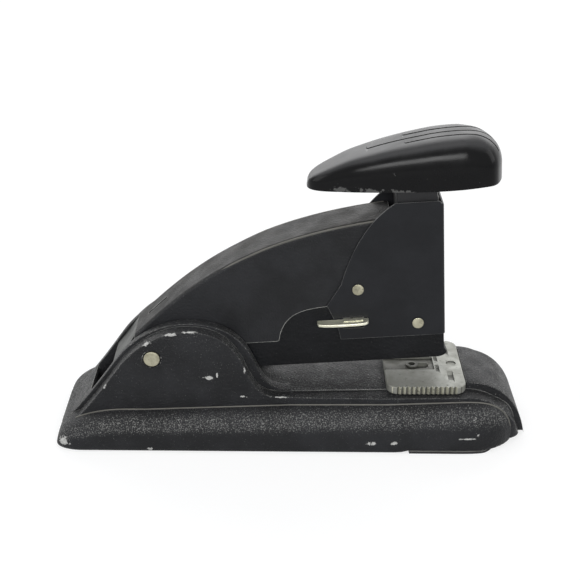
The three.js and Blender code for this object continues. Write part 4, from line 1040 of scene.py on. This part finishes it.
pins = {
    "hinge": {"radius": 2.2, "head": 3.25, "thickness": 1.0, "under": 19.8},
    "rear": {"x": 83.9, "z": 21.4, "radius": 1.3, "head": 2.3, "thickness": 0.5, "under": 11.4},
    "front": {"x": 107.5, "z": 5.2, "radius": 1.2, "head": 2.3, "thickness": 0.5, "under": 11.4},
}
headedPin("hingePin", arm["hinge"][0], arm["hinge"][2], **pins["hinge"], body="base",
          stands=["hinge_pin"], where=onDesk, dome=0.1)
for end in ("rear", "front"):
    headedPin(end + "Pin", **pins[end], body="hood", stands=[end + "_cross_pin"], dome=0.16)
print("pins are ready")


# Anvil plate and its rivet

anvilSizes = {
    "x": (39.45, 71.75), "half": 20.7, "z": (22.1, 25.5), "corner": 5,
    "groove": 61.35, "travel": 4.8, "rivet": baseSizes["rivetAt"], "slotHalf": 2.3, "troughHalf": 5.5,
    "teeth": 13, "pitch": 1.93, "toothDepth": 0.9,
    "shank": 2.0, "rim": 2.7, "rivetBore": 1.4,
}
# The inward dies are short and narrow and the outward ones long: width, inner end, outer end.
dies = {"deep": 0.8, "inward": (1.6, 1.2, 7.8), "outward": (2.4, 6.4, 16.1)}


def roundedBox(x0, x1, half, radius):
    corners = [(x1 - radius, -half + radius, -90), (x1 - radius, half - radius, 0),
               (x0 + radius, half - radius, 90), (x0 + radius, -half + radius, 180)]
    return [p for cx, cy, a in corners for p in arc(cx, cy, radius, a, a + 90, 14)]


def cutDies(top):
    s, deep = anvilSizes, dies["deep"]
    tools = []
    for side in (-1, 1):
        for name, ahead in (("inward", 0), ("outward", s["travel"])):
            width, inner, outer = dies[name]
            reach = (outer - inner) / 2
            radius = (reach ** 2 + deep ** 2) / (2 * deep)
            middle = (s["groove"] + ahead, side * (inner + outer) / 2, top + radius - deep)
            tools.append(rodOf(radius, middle, width, "X", 128))
    return tools


def cutTeeth(plate):
    s = anvilSizes
    low, top = s["z"]
    middle = sum(s["x"]) / 2
    teeth = []
    for side in (-1, 1):
        for i in range(s["teeth"]):
            x = middle + (i - (s["teeth"] - 1) / 2) * s["pitch"]
            root, mouth = side * (s["half"] - s["toothDepth"]), side * (s["half"] + s["toothDepth"])
            notch = [(x, root), (x + side * s["pitch"], mouth), (x - side * s["pitch"], mouth)]
            teeth.append(planPlate(notch, low - 2, top + 2))
    carve(plate, *teeth)


def paintAnvilLightAndShade(plate):
    s = anvilSizes
    low, top = s["z"]
    # The floors of the recess and the dies take the dark nickel as painted shade. Tooth flanks facing the
    # rear take the bright plating as a painted highlight, and those facing the front take the dark nickel
    # as painted shade.
    for look in ("darkNickelAndPaintedShade", "tab"):
        plate.data.materials.append(looks[look])
    for face in plate.data.polygons:
        height, side = face.center.z * 1000, abs(face.center.y) * 1000
        if face.normal.z > 0.9 and low + 1 < height < top - 0.6:
            face.material_index = 1
        elif side > s["half"] - s["toothDepth"] - 0.1 and abs(face.normal.z) < 0.5:
            if 0.5 < abs(face.normal.x) < 0.9:
                face.material_index = 2 if face.normal.x < 0 else 1


def makeAnvil():
    s = anvilSizes
    low, top = s["z"]
    plate = planPlate(roundedBox(*s["x"], s["half"], s["corner"]), low, top)
    soften(plate, 0.5, 4, 40)
    tools = cutDies(top)
    tools.append(blockOf(30, s["groove"] - 1.2, -s["troughHalf"], s["troughHalf"], top - 1, top + 3))
    slot = arc(s["rivet"], 0, s["slotHalf"], 90, 270, 16)
    slot += arc(s["rivet"] + s["travel"], 0, s["slotHalf"], -90, 90, 16)
    tools.append(planPlate(slot, low - 2, top + 2))
    tools.append(rodOf(2.1, (s["groove"] + 6.2, 0, top + 2.5), 6, "Z"))
    carve(plate, *tools)
    cutTeeth(plate)
    soften(plate, 0.08, 1, 35)
    seat(plate, "anvilPlate", "anvil", looks["nickel"], ["anvil_plate"], onDesk)
    paintAnvilLightAndShade(plate)

    rivet = rodOf(s["shank"], (s["rivet"], 0, 19.9), 10.8, "Z")
    rim = rodOf(s["rim"], (s["rivet"], 0, 25.05), 0.5, "Z")
    soften(rim, 0.18, 3, 40)
    rivet = carve(weldOn(rivet, rim), rodOf(s["rivetBore"], (s["rivet"], 0, 22.3), 8, "Z"))
    seat(rivet, "anvilRivet", "base", looks["darkNickelAndPaintedShade"], ["anvil_rivet"], onDesk)


makeAnvil()
print("anvil is ready")


# Magazine

frameSizes = {
    "half": 8.9, "inner": 7.3, "bottom": -12.2, "floorTop": -10.9, "front": 118.2, "edge": 0.45,
    "sideTop": 2.6, "cheeks": (52, 77, 16), "cheekFoot": 40, "wallRear": 116.5, "wallTop": -1.2,
    "lobe": 6.2, "pinHole": 2.5, "studHole": 1.2, "bladeSlot": (116.2, 117.3, 6.65),
}
railSizes = {
    "start": 5.2, "end": 116.2, "channel": (7, 0.4, -10.6, 0.5), "core": (5.6, -9.8, -3.3, 0.9),
    "rodHeight": -0.2, "rod": 1.0, "rodBore": 1.3, "rodMiddle": 57.6, "rodLength": 108.8,
    "bracket": (3.2, 4.8, -7, 7, -10.6, 2.4), "pusher": (103.9, 115.9, -6.2, 6.2, -9.8, 2.4),
    "pusherHollow": (100, 120, -5.85, 5.85, -12, -3.0), "stud": (92, 0.9, 0.9),
}


def makeTrough():
    s = frameSizes
    bottom, lip, wall = s["bottom"], s["bottom"] + 2.4, s["wallRear"]
    back, front, high = s["cheeks"]
    outline = [(-1.5, bottom), (s["front"] - 3.2, bottom)]
    outline += curve(outline[-1], (s["front"] + 1, lip), (0.6, 0, 1, 0.45), 10)
    outline += [(s["front"], lip + 2), (s["front"], s["wallTop"]), (wall, s["wallTop"])]
    outline += [(wall, s["sideTop"]), (front, s["sideTop"]), (front, high), (back, high)]
    outline.append((s["cheekFoot"], s["sideTop"]))
    start = math.degrees(math.asin(s["sideTop"] / s["lobe"]))
    outline += arc(0, 0, s["lobe"], start, 180, 30)
    body = sidePlate(outline, -s["half"], s["half"])
    soften(body, s["edge"], 3, 40)
    slotRear, slotFront, slotHalf = s["bladeSlot"]
    studX, _, studZ = railSizes["stud"]
    carve(
        body,
        blockOf(-12, wall, -s["inner"], s["inner"], s["floorTop"], 22),
        blockOf(slotRear, slotFront, -slotHalf, slotHalf, -16, 6),
        rodOf(s["pinHole"], (0, 0, 0), 40),
        rodOf(s["studHole"], (studX, -8, studZ), 14),
    )
    soften(body, 0.14, 2, 50)
    seat(body, "magazineFrame", "magazine", looks["magazine"], ["magazine_frame"])


def steelOn(piece, name, stands, body="magazine"):
    seat(piece, name, body, looks["steel"], [stands])


def makeRails():
    r = railSizes
    half, top, low, sheet = r["channel"]
    hollow, floor = half - sheet, low + sheet
    section = [(-half, top), (-half, low), (half, low), (half, top)]
    section += [(hollow, top), (hollow, floor), (-hollow, floor), (-hollow, top)]
    channel = frontPlate(section, r["start"], r["end"])
    soften(channel, 0.18, 2, 40)
    steelOn(channel, "stapleChannel", "staple_channel")
    half, low, top, sheet = r["core"]
    hollow, roof = half - sheet, top - sheet
    section = [(-half, low), (-half, top), (half, top), (half, low)]
    section += [(hollow, low), (hollow, roof), (-hollow, roof), (-hollow, low)]
    core = frontPlate(section, r["start"], r["end"])
    soften(core, 0.2, 3, 40)
    steelOn(core, "stapleCore", "staple_core")


def makePusher():
    r = railSizes
    height, bore = r["rodHeight"], r["rodBore"]
    bracket = blockOf(*r["bracket"])
    soften(bracket, 0.35, 3, 40)
    carve(bracket, rodOf(bore, (4, 0, height), 6, "X"))
    steelOn(bracket, "rodBracket", "rod_bracket")
    rod = rodOf(r["rod"], (r["rodMiddle"], 0, height), r["rodLength"], "X", 48)
    soften(rod, 0.3, 3, 40)
    steelOn(rod, "guideRod", "guide_rod")
    pusher = blockOf(*r["pusher"])
    soften(pusher, 0.5, 3, 40)
    carve(pusher, blockOf(*r["pusherHollow"]), rodOf(bore, (110, 0, height), 20, "X"))
    steelOn(pusher, "staplePusher", "follower", "pusher")
    studX, studRadius, studZ = r["stud"]
    stud = rodOf(studRadius, (studX, -8.55, studZ), 2.0, sides=48)
    soften(stud, 0.2, 3, 40)
    steelOn(stud, "catchStud", "catch_stud")


makeTrough()
makeRails()
makePusher()
print("magazine is ready")


# Springs, each one wire

def coilOf(radius, wire, turns, length, axis, start):
    settle()
    upright = (math.pi / 2, 0, 0)
    bpy.ops.mesh.primitive_circle_add(vertices=10, radius=wire / 2, location=(0, 0, 0), rotation=upright)
    piece = applyPlace(bpy.context.object)
    piece.data.transform(Matrix.Translation((radius, 0, 0)))
    screw = piece.modifiers.new("wind", "SCREW")
    screw.axis = "Z"
    screw.screw_offset = length / turns
    screw.iterations = turns
    screw.steps = screw.render_steps = 20
    screw.use_merge_vertices = False
    applyAll(piece)
    tidyMesh(piece)
    angle, about = {"X": (math.pi / 2, "Y"), "Y": (-math.pi / 2, "X"), "Z": (0, "Z")}[axis]
    piece.data.transform(Matrix.Translation(start) @ Matrix.Rotation(angle, 4, about))
    return piece


springs = {
    "follower_spring": {
        "radius": 1.9, "wire": 0.6, "turns": 34, "length": 97.2, "axis": "X", "start": (5.7, 0, -0.2),
    },
    "plunger_spring": {
        "radius": 5.4, "wire": 1.3, "turns": 8, "length": 38.9, "axis": "Z", "start": (108.25, 0, 20.95),
    },
    "latch_spring": {
        "radius": 2.3, "wire": 0.6, "turns": 5, "length": 7, "axis": "Y", "start": (83.9, -8.3, 21.4),
    },
}


def makeSpring(stands, name, body):
    coil = coilOf(**springs[stands])
    seat(coil, name, body, looks["spring"], [stands], angle=80, weighted=False)
    return coil


pushSpring = makeSpring("follower_spring", "followerSpring", "magazine")
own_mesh(pushSpring)
returnSpring = makeSpring("plunger_spring", "plungerSpring", "hood")
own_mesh(returnSpring)
makeSpring("latch_spring", "latchSpring", "hood")
print("springs are ready")


# Cover and tail

coverSizes = {
    "half": 10.1, "sheet": 0.9, "crest": 1.7,
    "rear": (-7.6, 5.8), "front": (98, 50.6), "lower": -0.5,
    "rise": (51, 71, 13.9), "hoop": 5.4, "slot": (-2, 6, 1.8),
    "crestShares": (0.267, 0.572, 0.519, 0.905), "riseShares": (0.1, 0.8, 0.45, 0.96),
    "seam": (26, 97.2, 0.42), "seamFade": 22, "crown": 0.06, "pinHole": 2.5, "crossHole": 1.6,
}


def coverCrest():
    s = coverSizes
    return [s["rear"]] + curve(s["rear"], s["front"], s["crestShares"], 160)


def coverFoot(x, riseCurve):
    s = coverSizes
    hoop, turn = s["hoop"], s["hoop"] * math.sqrt(0.5)
    if x < -hoop:
        return 0.0
    if x < turn:
        return -math.sqrt(max(0.0, hoop ** 2 - x * x))
    if x < 2 * hoop:
        return along([(turn, -turn), (2 * hoop, s["lower"])], x)
    if x < s["rise"][0]:
        return s["lower"]
    return along(riseCurve, x)


def makeCover():
    s = coverSizes
    riseStart = (s["rise"][0], s["lower"])
    riseCurve = [riseStart] + curve(riseStart, s["rise"][1:], s["riseShares"], 40)
    crest = evenly(coverCrest(), 0.8)
    walls = 6

    def ring(x, top):
        foot = coverFoot(x, riseCurve)
        shoulder = top - s["crest"]
        side = [(s["half"], mix(foot, shoulder, k / walls)) for k in range(walls)]
        for k in range(9):
            a = math.radians(90 * k / 8)
            side.append((s["half"] - s["crest"] * (1 - math.cos(a)), top - s["crest"] * (1 - math.sin(a))))
        side.append((s["half"] / 3, top + s["crown"]))
        half = [(-y, z) for y, z in side]
        return [(x, y, z) for y, z in half + list(reversed(side))]

    rings = [ring(x, z) for x, z in crest]
    piece = gridOf(len(rings) - 1, len(rings[0]) - 1, lambda u, v: rings[u][v], fill=False)
    faceUp(piece)
    thicken(piece, s["sheet"])
    rear, front, width = s["slot"]
    cross = (pins["rear"]["x"], 0, pins["rear"]["z"])
    carve(
        piece,
        rodOf(s["pinHole"], (0, 0, 0), 40),
        rodOf(s["crossHole"], cross, 40),
        blockOf(rear, front, -width / 2, width / 2, 0, 40),
    )
    soften(piece, 0.16, 2, 50)
    seat(piece, "coverSheet", "hood", looks["cover"], ["cover"], angle=45)

    # The pressed crest ends in a thin raised seam on each side, which fades out to the rear. Its light grey
    # finish is a painted highlight of the crest's rounded corner.
    start, end, radius = s["seam"]
    for side, name in ((-1, "crestSeamNear"), (1, "crestSeamFar")):
        line = []
        for x, z in evenly([p for p in crest if start <= p[0] <= end], 1.2):
            sunk = 0.5 * (1 - min(1, (x - start) / s["seamFade"]))
            line.append((x, side * (s["half"] - 0.32 - sunk), z - 0.5 - sunk))
        bead = tubeOf(line, radius)
        seat(bead, name, "hood", looks["line"], [], angle=80, weighted=False)


tailSizes = {
    "under": 1.65, "sheet": 1.2, "front": 4, "knee": (-0.4, -0.9), "tip": (-19, -8.2), "half": 8.9,
    "flare": 10.0, "foot": 4.9, "kneeShares": (0.5, 0.45, 0.8, 0.75), "backShares": (0.3, 0.36, 0.7, 0.72),
}


def makeTail():
    t, rear = tailSizes, coverSizes["rear"]
    sheet, (tipX, tipZ) = t["sheet"], t["tip"]
    knee = (rear[0] + t["knee"][0], rear[1] + t["knee"][1])
    line = [(x, z - t["under"]) for x, z in coverCrest() if x <= t["front"]][::-1]
    line = line[:-3] + curve(line[-4], knee, t["kneeShares"], 5)
    line += curve(knee, (tipX + 0.8, tipZ + 0.9), t["backShares"], 10)
    line += [(tipX + 0.5, tipZ + 0.1), (tipX + 1.2, tipZ - 0.15), (tipX + t["foot"], tipZ)]
    line = evenly(line, 0.8)
    inside = []
    for i, (x, z) in enumerate(line):
        nx, nz = upwards(line, i)
        inside.append((x + nx * sheet, z + nz * sheet))
    piece = sidePlate(line + inside[::-1], -t["half"], t["half"])
    soften(piece, 0.25, 3, 50)
    for point in piece.data.vertices:
        out = min(1, max(0, knee[0] - 0.6 - point.co.x))
        point.co.y *= mix(1, t["flare"] / t["half"], out)
    seat(piece, "tailPlate", "hood", looks["tail"], ["tail_plate"], angle=50)


makeCover()
makeTail()
print("cover and tail are ready")


# Head housing, guide and latch

headSizes = {
    "half": 11.1, "sheet": 0.8, "front": 118.5, "corner": 1.6, "bottom": -0.6, "top": 57,
    "chamfer": 2, "foot": 76.2, "waist": (75.2, 5), "cusp": (71.3, 14.8), "neck": (77.2, 23.5),
    "shoulder": 99.9, "neckShares": (0.47, 0.194, 0.771, 0.521),
    "rearHole": 1.6, "frontHole": 1.5, "window": (77.3, 85.7, 4.3, 9.0),
}
guideSizes = {
    "block": (98.5, 117.4, -8.7, 8.7, 3, 20), "stem": 3.6, "stemAt": (108.25, 0, 22.5),
    "slot": (116.2, 121, -6.55, 6.55, 0, 27), "bore": 1.35,
}


def wrapOutline(half, front, corner, rear):
    return ([(rear, -half)] + arc(front - corner, corner - half, corner, -90, 0, 10)
            + arc(front - corner, half - corner, corner, 0, 90, 10) + [(rear, half)])


def headOutline():
    s = headSizes
    past, bottom = s["front"] + 3, s["bottom"]
    outline = [(s["foot"], bottom), (past, bottom), (past, s["top"] - s["chamfer"] - 3)]
    outline += [(s["front"] - s["chamfer"], s["top"]), (s["shoulder"], s["top"])]
    outline += curve(outline[-1], s["neck"], s["neckShares"], 48)
    outline += [s["cusp"], s["waist"]]
    return outline


def makeHousing():
    s = headSizes
    half, sheet = s["half"], s["sheet"]
    wrap = planPlate(wrapOutline(half, s["front"], s["corner"], 66), -5, 62)
    inside = wrapOutline(half - sheet, s["front"] - sheet, s["corner"] - sheet, 60)
    carve(wrap, planPlate(inside, -9, 66))
    keepWithin(wrap, sidePlate(headOutline(), -14, 14))
    rear, front, low, high = s["window"]
    carve(
        wrap,
        rodOf(s["rearHole"], (pins["rear"]["x"], 0, pins["rear"]["z"]), 40),
        rodOf(s["frontHole"], (pins["front"]["x"], 0, pins["front"]["z"]), 40),
        blockOf(rear, front, -14, -9.2, low, high),
    )
    soften(wrap, 0.22, 2, 40)
    seat(wrap, "headHousing", "hood", looks["housing"], ["head_housing"])


def makeGuide():
    s = guideSizes
    guide = blockOf(*s["block"])
    soften(guide, 0.4, 2, 40)
    weldOn(guide, rodOf(s["stem"], s["stemAt"], 7, "Z"))
    cross = (pins["front"]["x"], 0, pins["front"]["z"])
    carve(guide, blockOf(*s["slot"]), rodOf(s["bore"], cross, 30))
    soften(guide, 0.14, 2, 40)
    steelOn(guide, "driverGuide", "driver_guide", "hood")


latchSizes = {
    "outer": -10.0, "inner": -9.2, "bore": 1.35, "rear": 77.6, "shelf": (7.5, 8.7), "boss": 2.8,
    "hook": [(93.4, 5.1), (93.4, 1.7), (96.4, 1.7)], "hookShares": (0.2, 0.3, 0.6, 0.95),
    "tab": {"rear": 67, "length": 20.6, "edge": -11.4, "width": 5},
}
tabShares = [
    (0, 0), (0, 0.62), (0.03, 0.8), (0.13, 0.93), (0.3, 1), (0.5, 1.02), (0.72, 1), (0.86, 0.95),
    (0.93, 0.88), (0.98, 0.72), (1, 0.5), (1, 0),
]


def makeLatch():
    s, tabOf = latchSizes, latchSizes["tab"]
    rear, (low, high) = s["rear"], s["shelf"]
    pivotX, pivotZ = pins["front"]["x"], pins["front"]["z"]
    bar = [(rear, s["hook"][0][1])] + s["hook"]
    bar += curve(bar[-1], (pivotX, pivotZ - s["boss"]), s["hookShares"], 8)
    bar += arc(pivotX, pivotZ, s["boss"], -90, 90, 24)
    bar.append((rear, high))
    lever = sidePlate(bar, s["outer"], s["inner"])
    soften(lever, 0.12, 2, 40)
    neck = blockOf(rear, 85.4, -13.4, s["inner"], low, high)
    plan = [(tabOf["rear"] + tabOf["length"] * a, tabOf["edge"] - tabOf["width"] * b) for a, b in tabShares]
    tab = planPlate(plan, low, high)
    soften(tab, 0.3, 3, 50)
    pickFaces(tab, lambda face: face.normal.z > 0.99 and face.area > 20)
    bpy.ops.mesh.inset(thickness=0.5, depth=0)
    bpy.ops.mesh.inset(thickness=0.35, depth=-0.28)
    bpy.ops.object.mode_set(mode="OBJECT")
    weldOn(lever, neck, tab)
    carve(lever, rodOf(s["bore"], (pivotX, 0, pivotZ), 40))
    seat(lever, "latchLever", "latch_lever", looks["tab"], ["latch"])


makeHousing()
makeGuide()
makeLatch()
print("head and latch are ready")


# Plunger and blade

plungerSizes = {
    "sleeve": (100.3, 116.2, 9.3, 32, 62.8), "wall": 1.2, "roof": 2, "lug": (95.9, 101.4, 7, 47.3, 49.1),
    "screw": (2.3, 108.25), "rivet": 1.15, "rivetHeights": (38, 50), "blade": (116.5, 117, 6.25, -2.4, 57),
}


def rivetHoles(x, length):
    s = plungerSizes
    return [rodOf(s["rivet"], (x, 0, z), length, "X") for z in s["rivetHeights"]]


def makePlunger():
    s = plungerSizes
    rear, front, half, low, top = s["sleeve"]
    wall, roof = s["wall"], s["roof"]
    sleeve = blockOf(rear, front, -half, half, low, top)
    soften(sleeve, 0.8, 4, 40)
    carve(sleeve, blockOf(rear + wall, front - wall, wall - half, half - wall, low - 3, top - roof))
    rear, front, half, low, top = s["lug"]
    lug = blockOf(rear, front, -half, half, low, top)
    soften(lug, 0.3, 2, 40)
    weldOn(sleeve, lug)
    screw, place = s["screw"]
    carve(sleeve, rodOf(screw, (place, 0, 61), 12, "Z"), *rivetHoles(116, 6))
    soften(sleeve, 0.12, 2, 50)
    seat(sleeve, "plungerSleeve", "driver", looks["plunger"], ["plunger"])
    rear, front, half, low, top = s["blade"]
    blade = blockOf(rear, front, -half, half, low, top)
    soften(blade, 0.1, 2, 40)
    carve(blade, *rivetHoles(116.7, 3))
    steelOn(blade, "driverBlade", "driver_blade", "driver")


makePlunger()
print("plunger is ready")


# Knob

knobSizes = {
    "rim": 62.5, "wall": 1.8,
    "outline": [
        (65.9, 1.4), (66.6, 3.6), (67.8, 5.4), (70.4, 7.3), (74, 8.7), (78.6, 9.9), (85.2, 11.6),
        (93, 13.1), (101.3, 14.3), (110, 15.4), (118.6, 15.9), (125, 15.6), (130, 14.8), (134, 13.9),
        (136.8, 13.0), (138.8, 11.2), (140.4, 8.0), (141.5, 4.6), (142.0, 2),
    ],
    "crest": [
        (65.9, 0.6), (66.4, 2.7), (67.6, 4.4), (69.8, 5.9), (75.3, 8.5), (83.3, 11.7), (89.7, 13.4),
        (95, 14.7), (100.4, 15.8), (105.6, 16.7), (110.8, 17.5), (116, 18.2), (121.1, 18.6), (125, 18.7),
        (127, 18.6),
    ],
    "tip": 142.2, "knee": 116, "spineEnd": 127.0,
    "lines": [(0, 89.7, 138.6), (-5, 104, 140.2), (5, 104, 140.2)], "groove": 0.56, "lineStep": 0.8,
    "flat": 6.5, "flank": 1.9, "frontFlat": 2.6, "frontFrom": 128, "frontReach": 14, "upright": (6, 0.35),
}


def knobPlan():
    s = knobSizes
    points = [(s["outline"][0][0], 0.0)]
    for i in range(len(s["outline"]) - 1):
        x0, x1 = s["outline"][i][0], s["outline"][i + 1][0]
        for k in range(12):
            x = mix(x0, x1, k / 12)
            points.append((x, smoothAlong(s["outline"], x)))
    points += [s["outline"][-1], (s["tip"], 0.0)]
    return evenly(points, 0.75)


def knobFoot(x):
    s = knobSizes
    if x <= s["knee"]:
        return x
    share = (x - s["knee"]) / (s["tip"] - s["knee"])
    return s["knee"] + (s["spineEnd"] - s["knee"]) * (1 - (1 - share) ** 1.6)


def makeKnob():
    s = knobSizes
    near = knobPlan()
    outline = [(x, -y) for x, y in near] + [(x, y) for x, y in reversed(near[1:-1])]
    rows = 48

    def place(u, v):
        x, y = outline[v]
        spine = knobFoot(x)
        height = smoothAlong(s["crest"], spine)
        lift = min(s["upright"][0], height * s["upright"][1])
        if u == 0:
            return (x, y, s["rim"])
        a = math.radians(90 * (u - 1) / (rows - 1))
        inwards = 1 - math.cos(a) ** (2 / s["flat"])
        rise = math.sin(a) ** (2 / s["flank"])
        front = min(1, max(0, (x - s["frontFrom"]) / s["frontReach"]))
        inwards = mix(inwards, 1 - math.cos(a) ** (2 / s["frontFlat"]), front)
        return (mix(x, spine, inwards), y * (1 - inwards), s["rim"] + lift + (height - lift) * rise)

    piece = gridOf(rows, len(outline), place, ringed=True, fill=False)
    faceUp(piece)
    lines = []
    for y, start, end in s["lines"]:
        steps = round((end - start) / s["lineStep"])
        path = layOn(piece, [(mix(start, end, i / steps), y) for i in range(steps + 1)])
        x, y, z = path[0]
        path[0] = (x, y, z + s["groove"])
        lines.append(tubeOf(path, s["groove"]))
    thicken(piece, s["wall"])
    return carve(piece, *lines)


knob = makeKnob()
print("knob", len(knob.data.polygons), "faces")
seat(knob, "knobShell", "driver", looks["knob"], ["knob"], angle=45, weighted=False)


# Small metal nodes that stay as they are

kept = {
    "lift_spring": "spring", "lift_spring_rivet": "steel", "blade_rivet_lower": "steel",
    "blade_rivet_upper": "steel", "knob_screw": "steel",
}
for node, look in kept.items():
    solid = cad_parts[node]
    solid.data.materials.clear()
    solid.data.materials.append(looks[look])
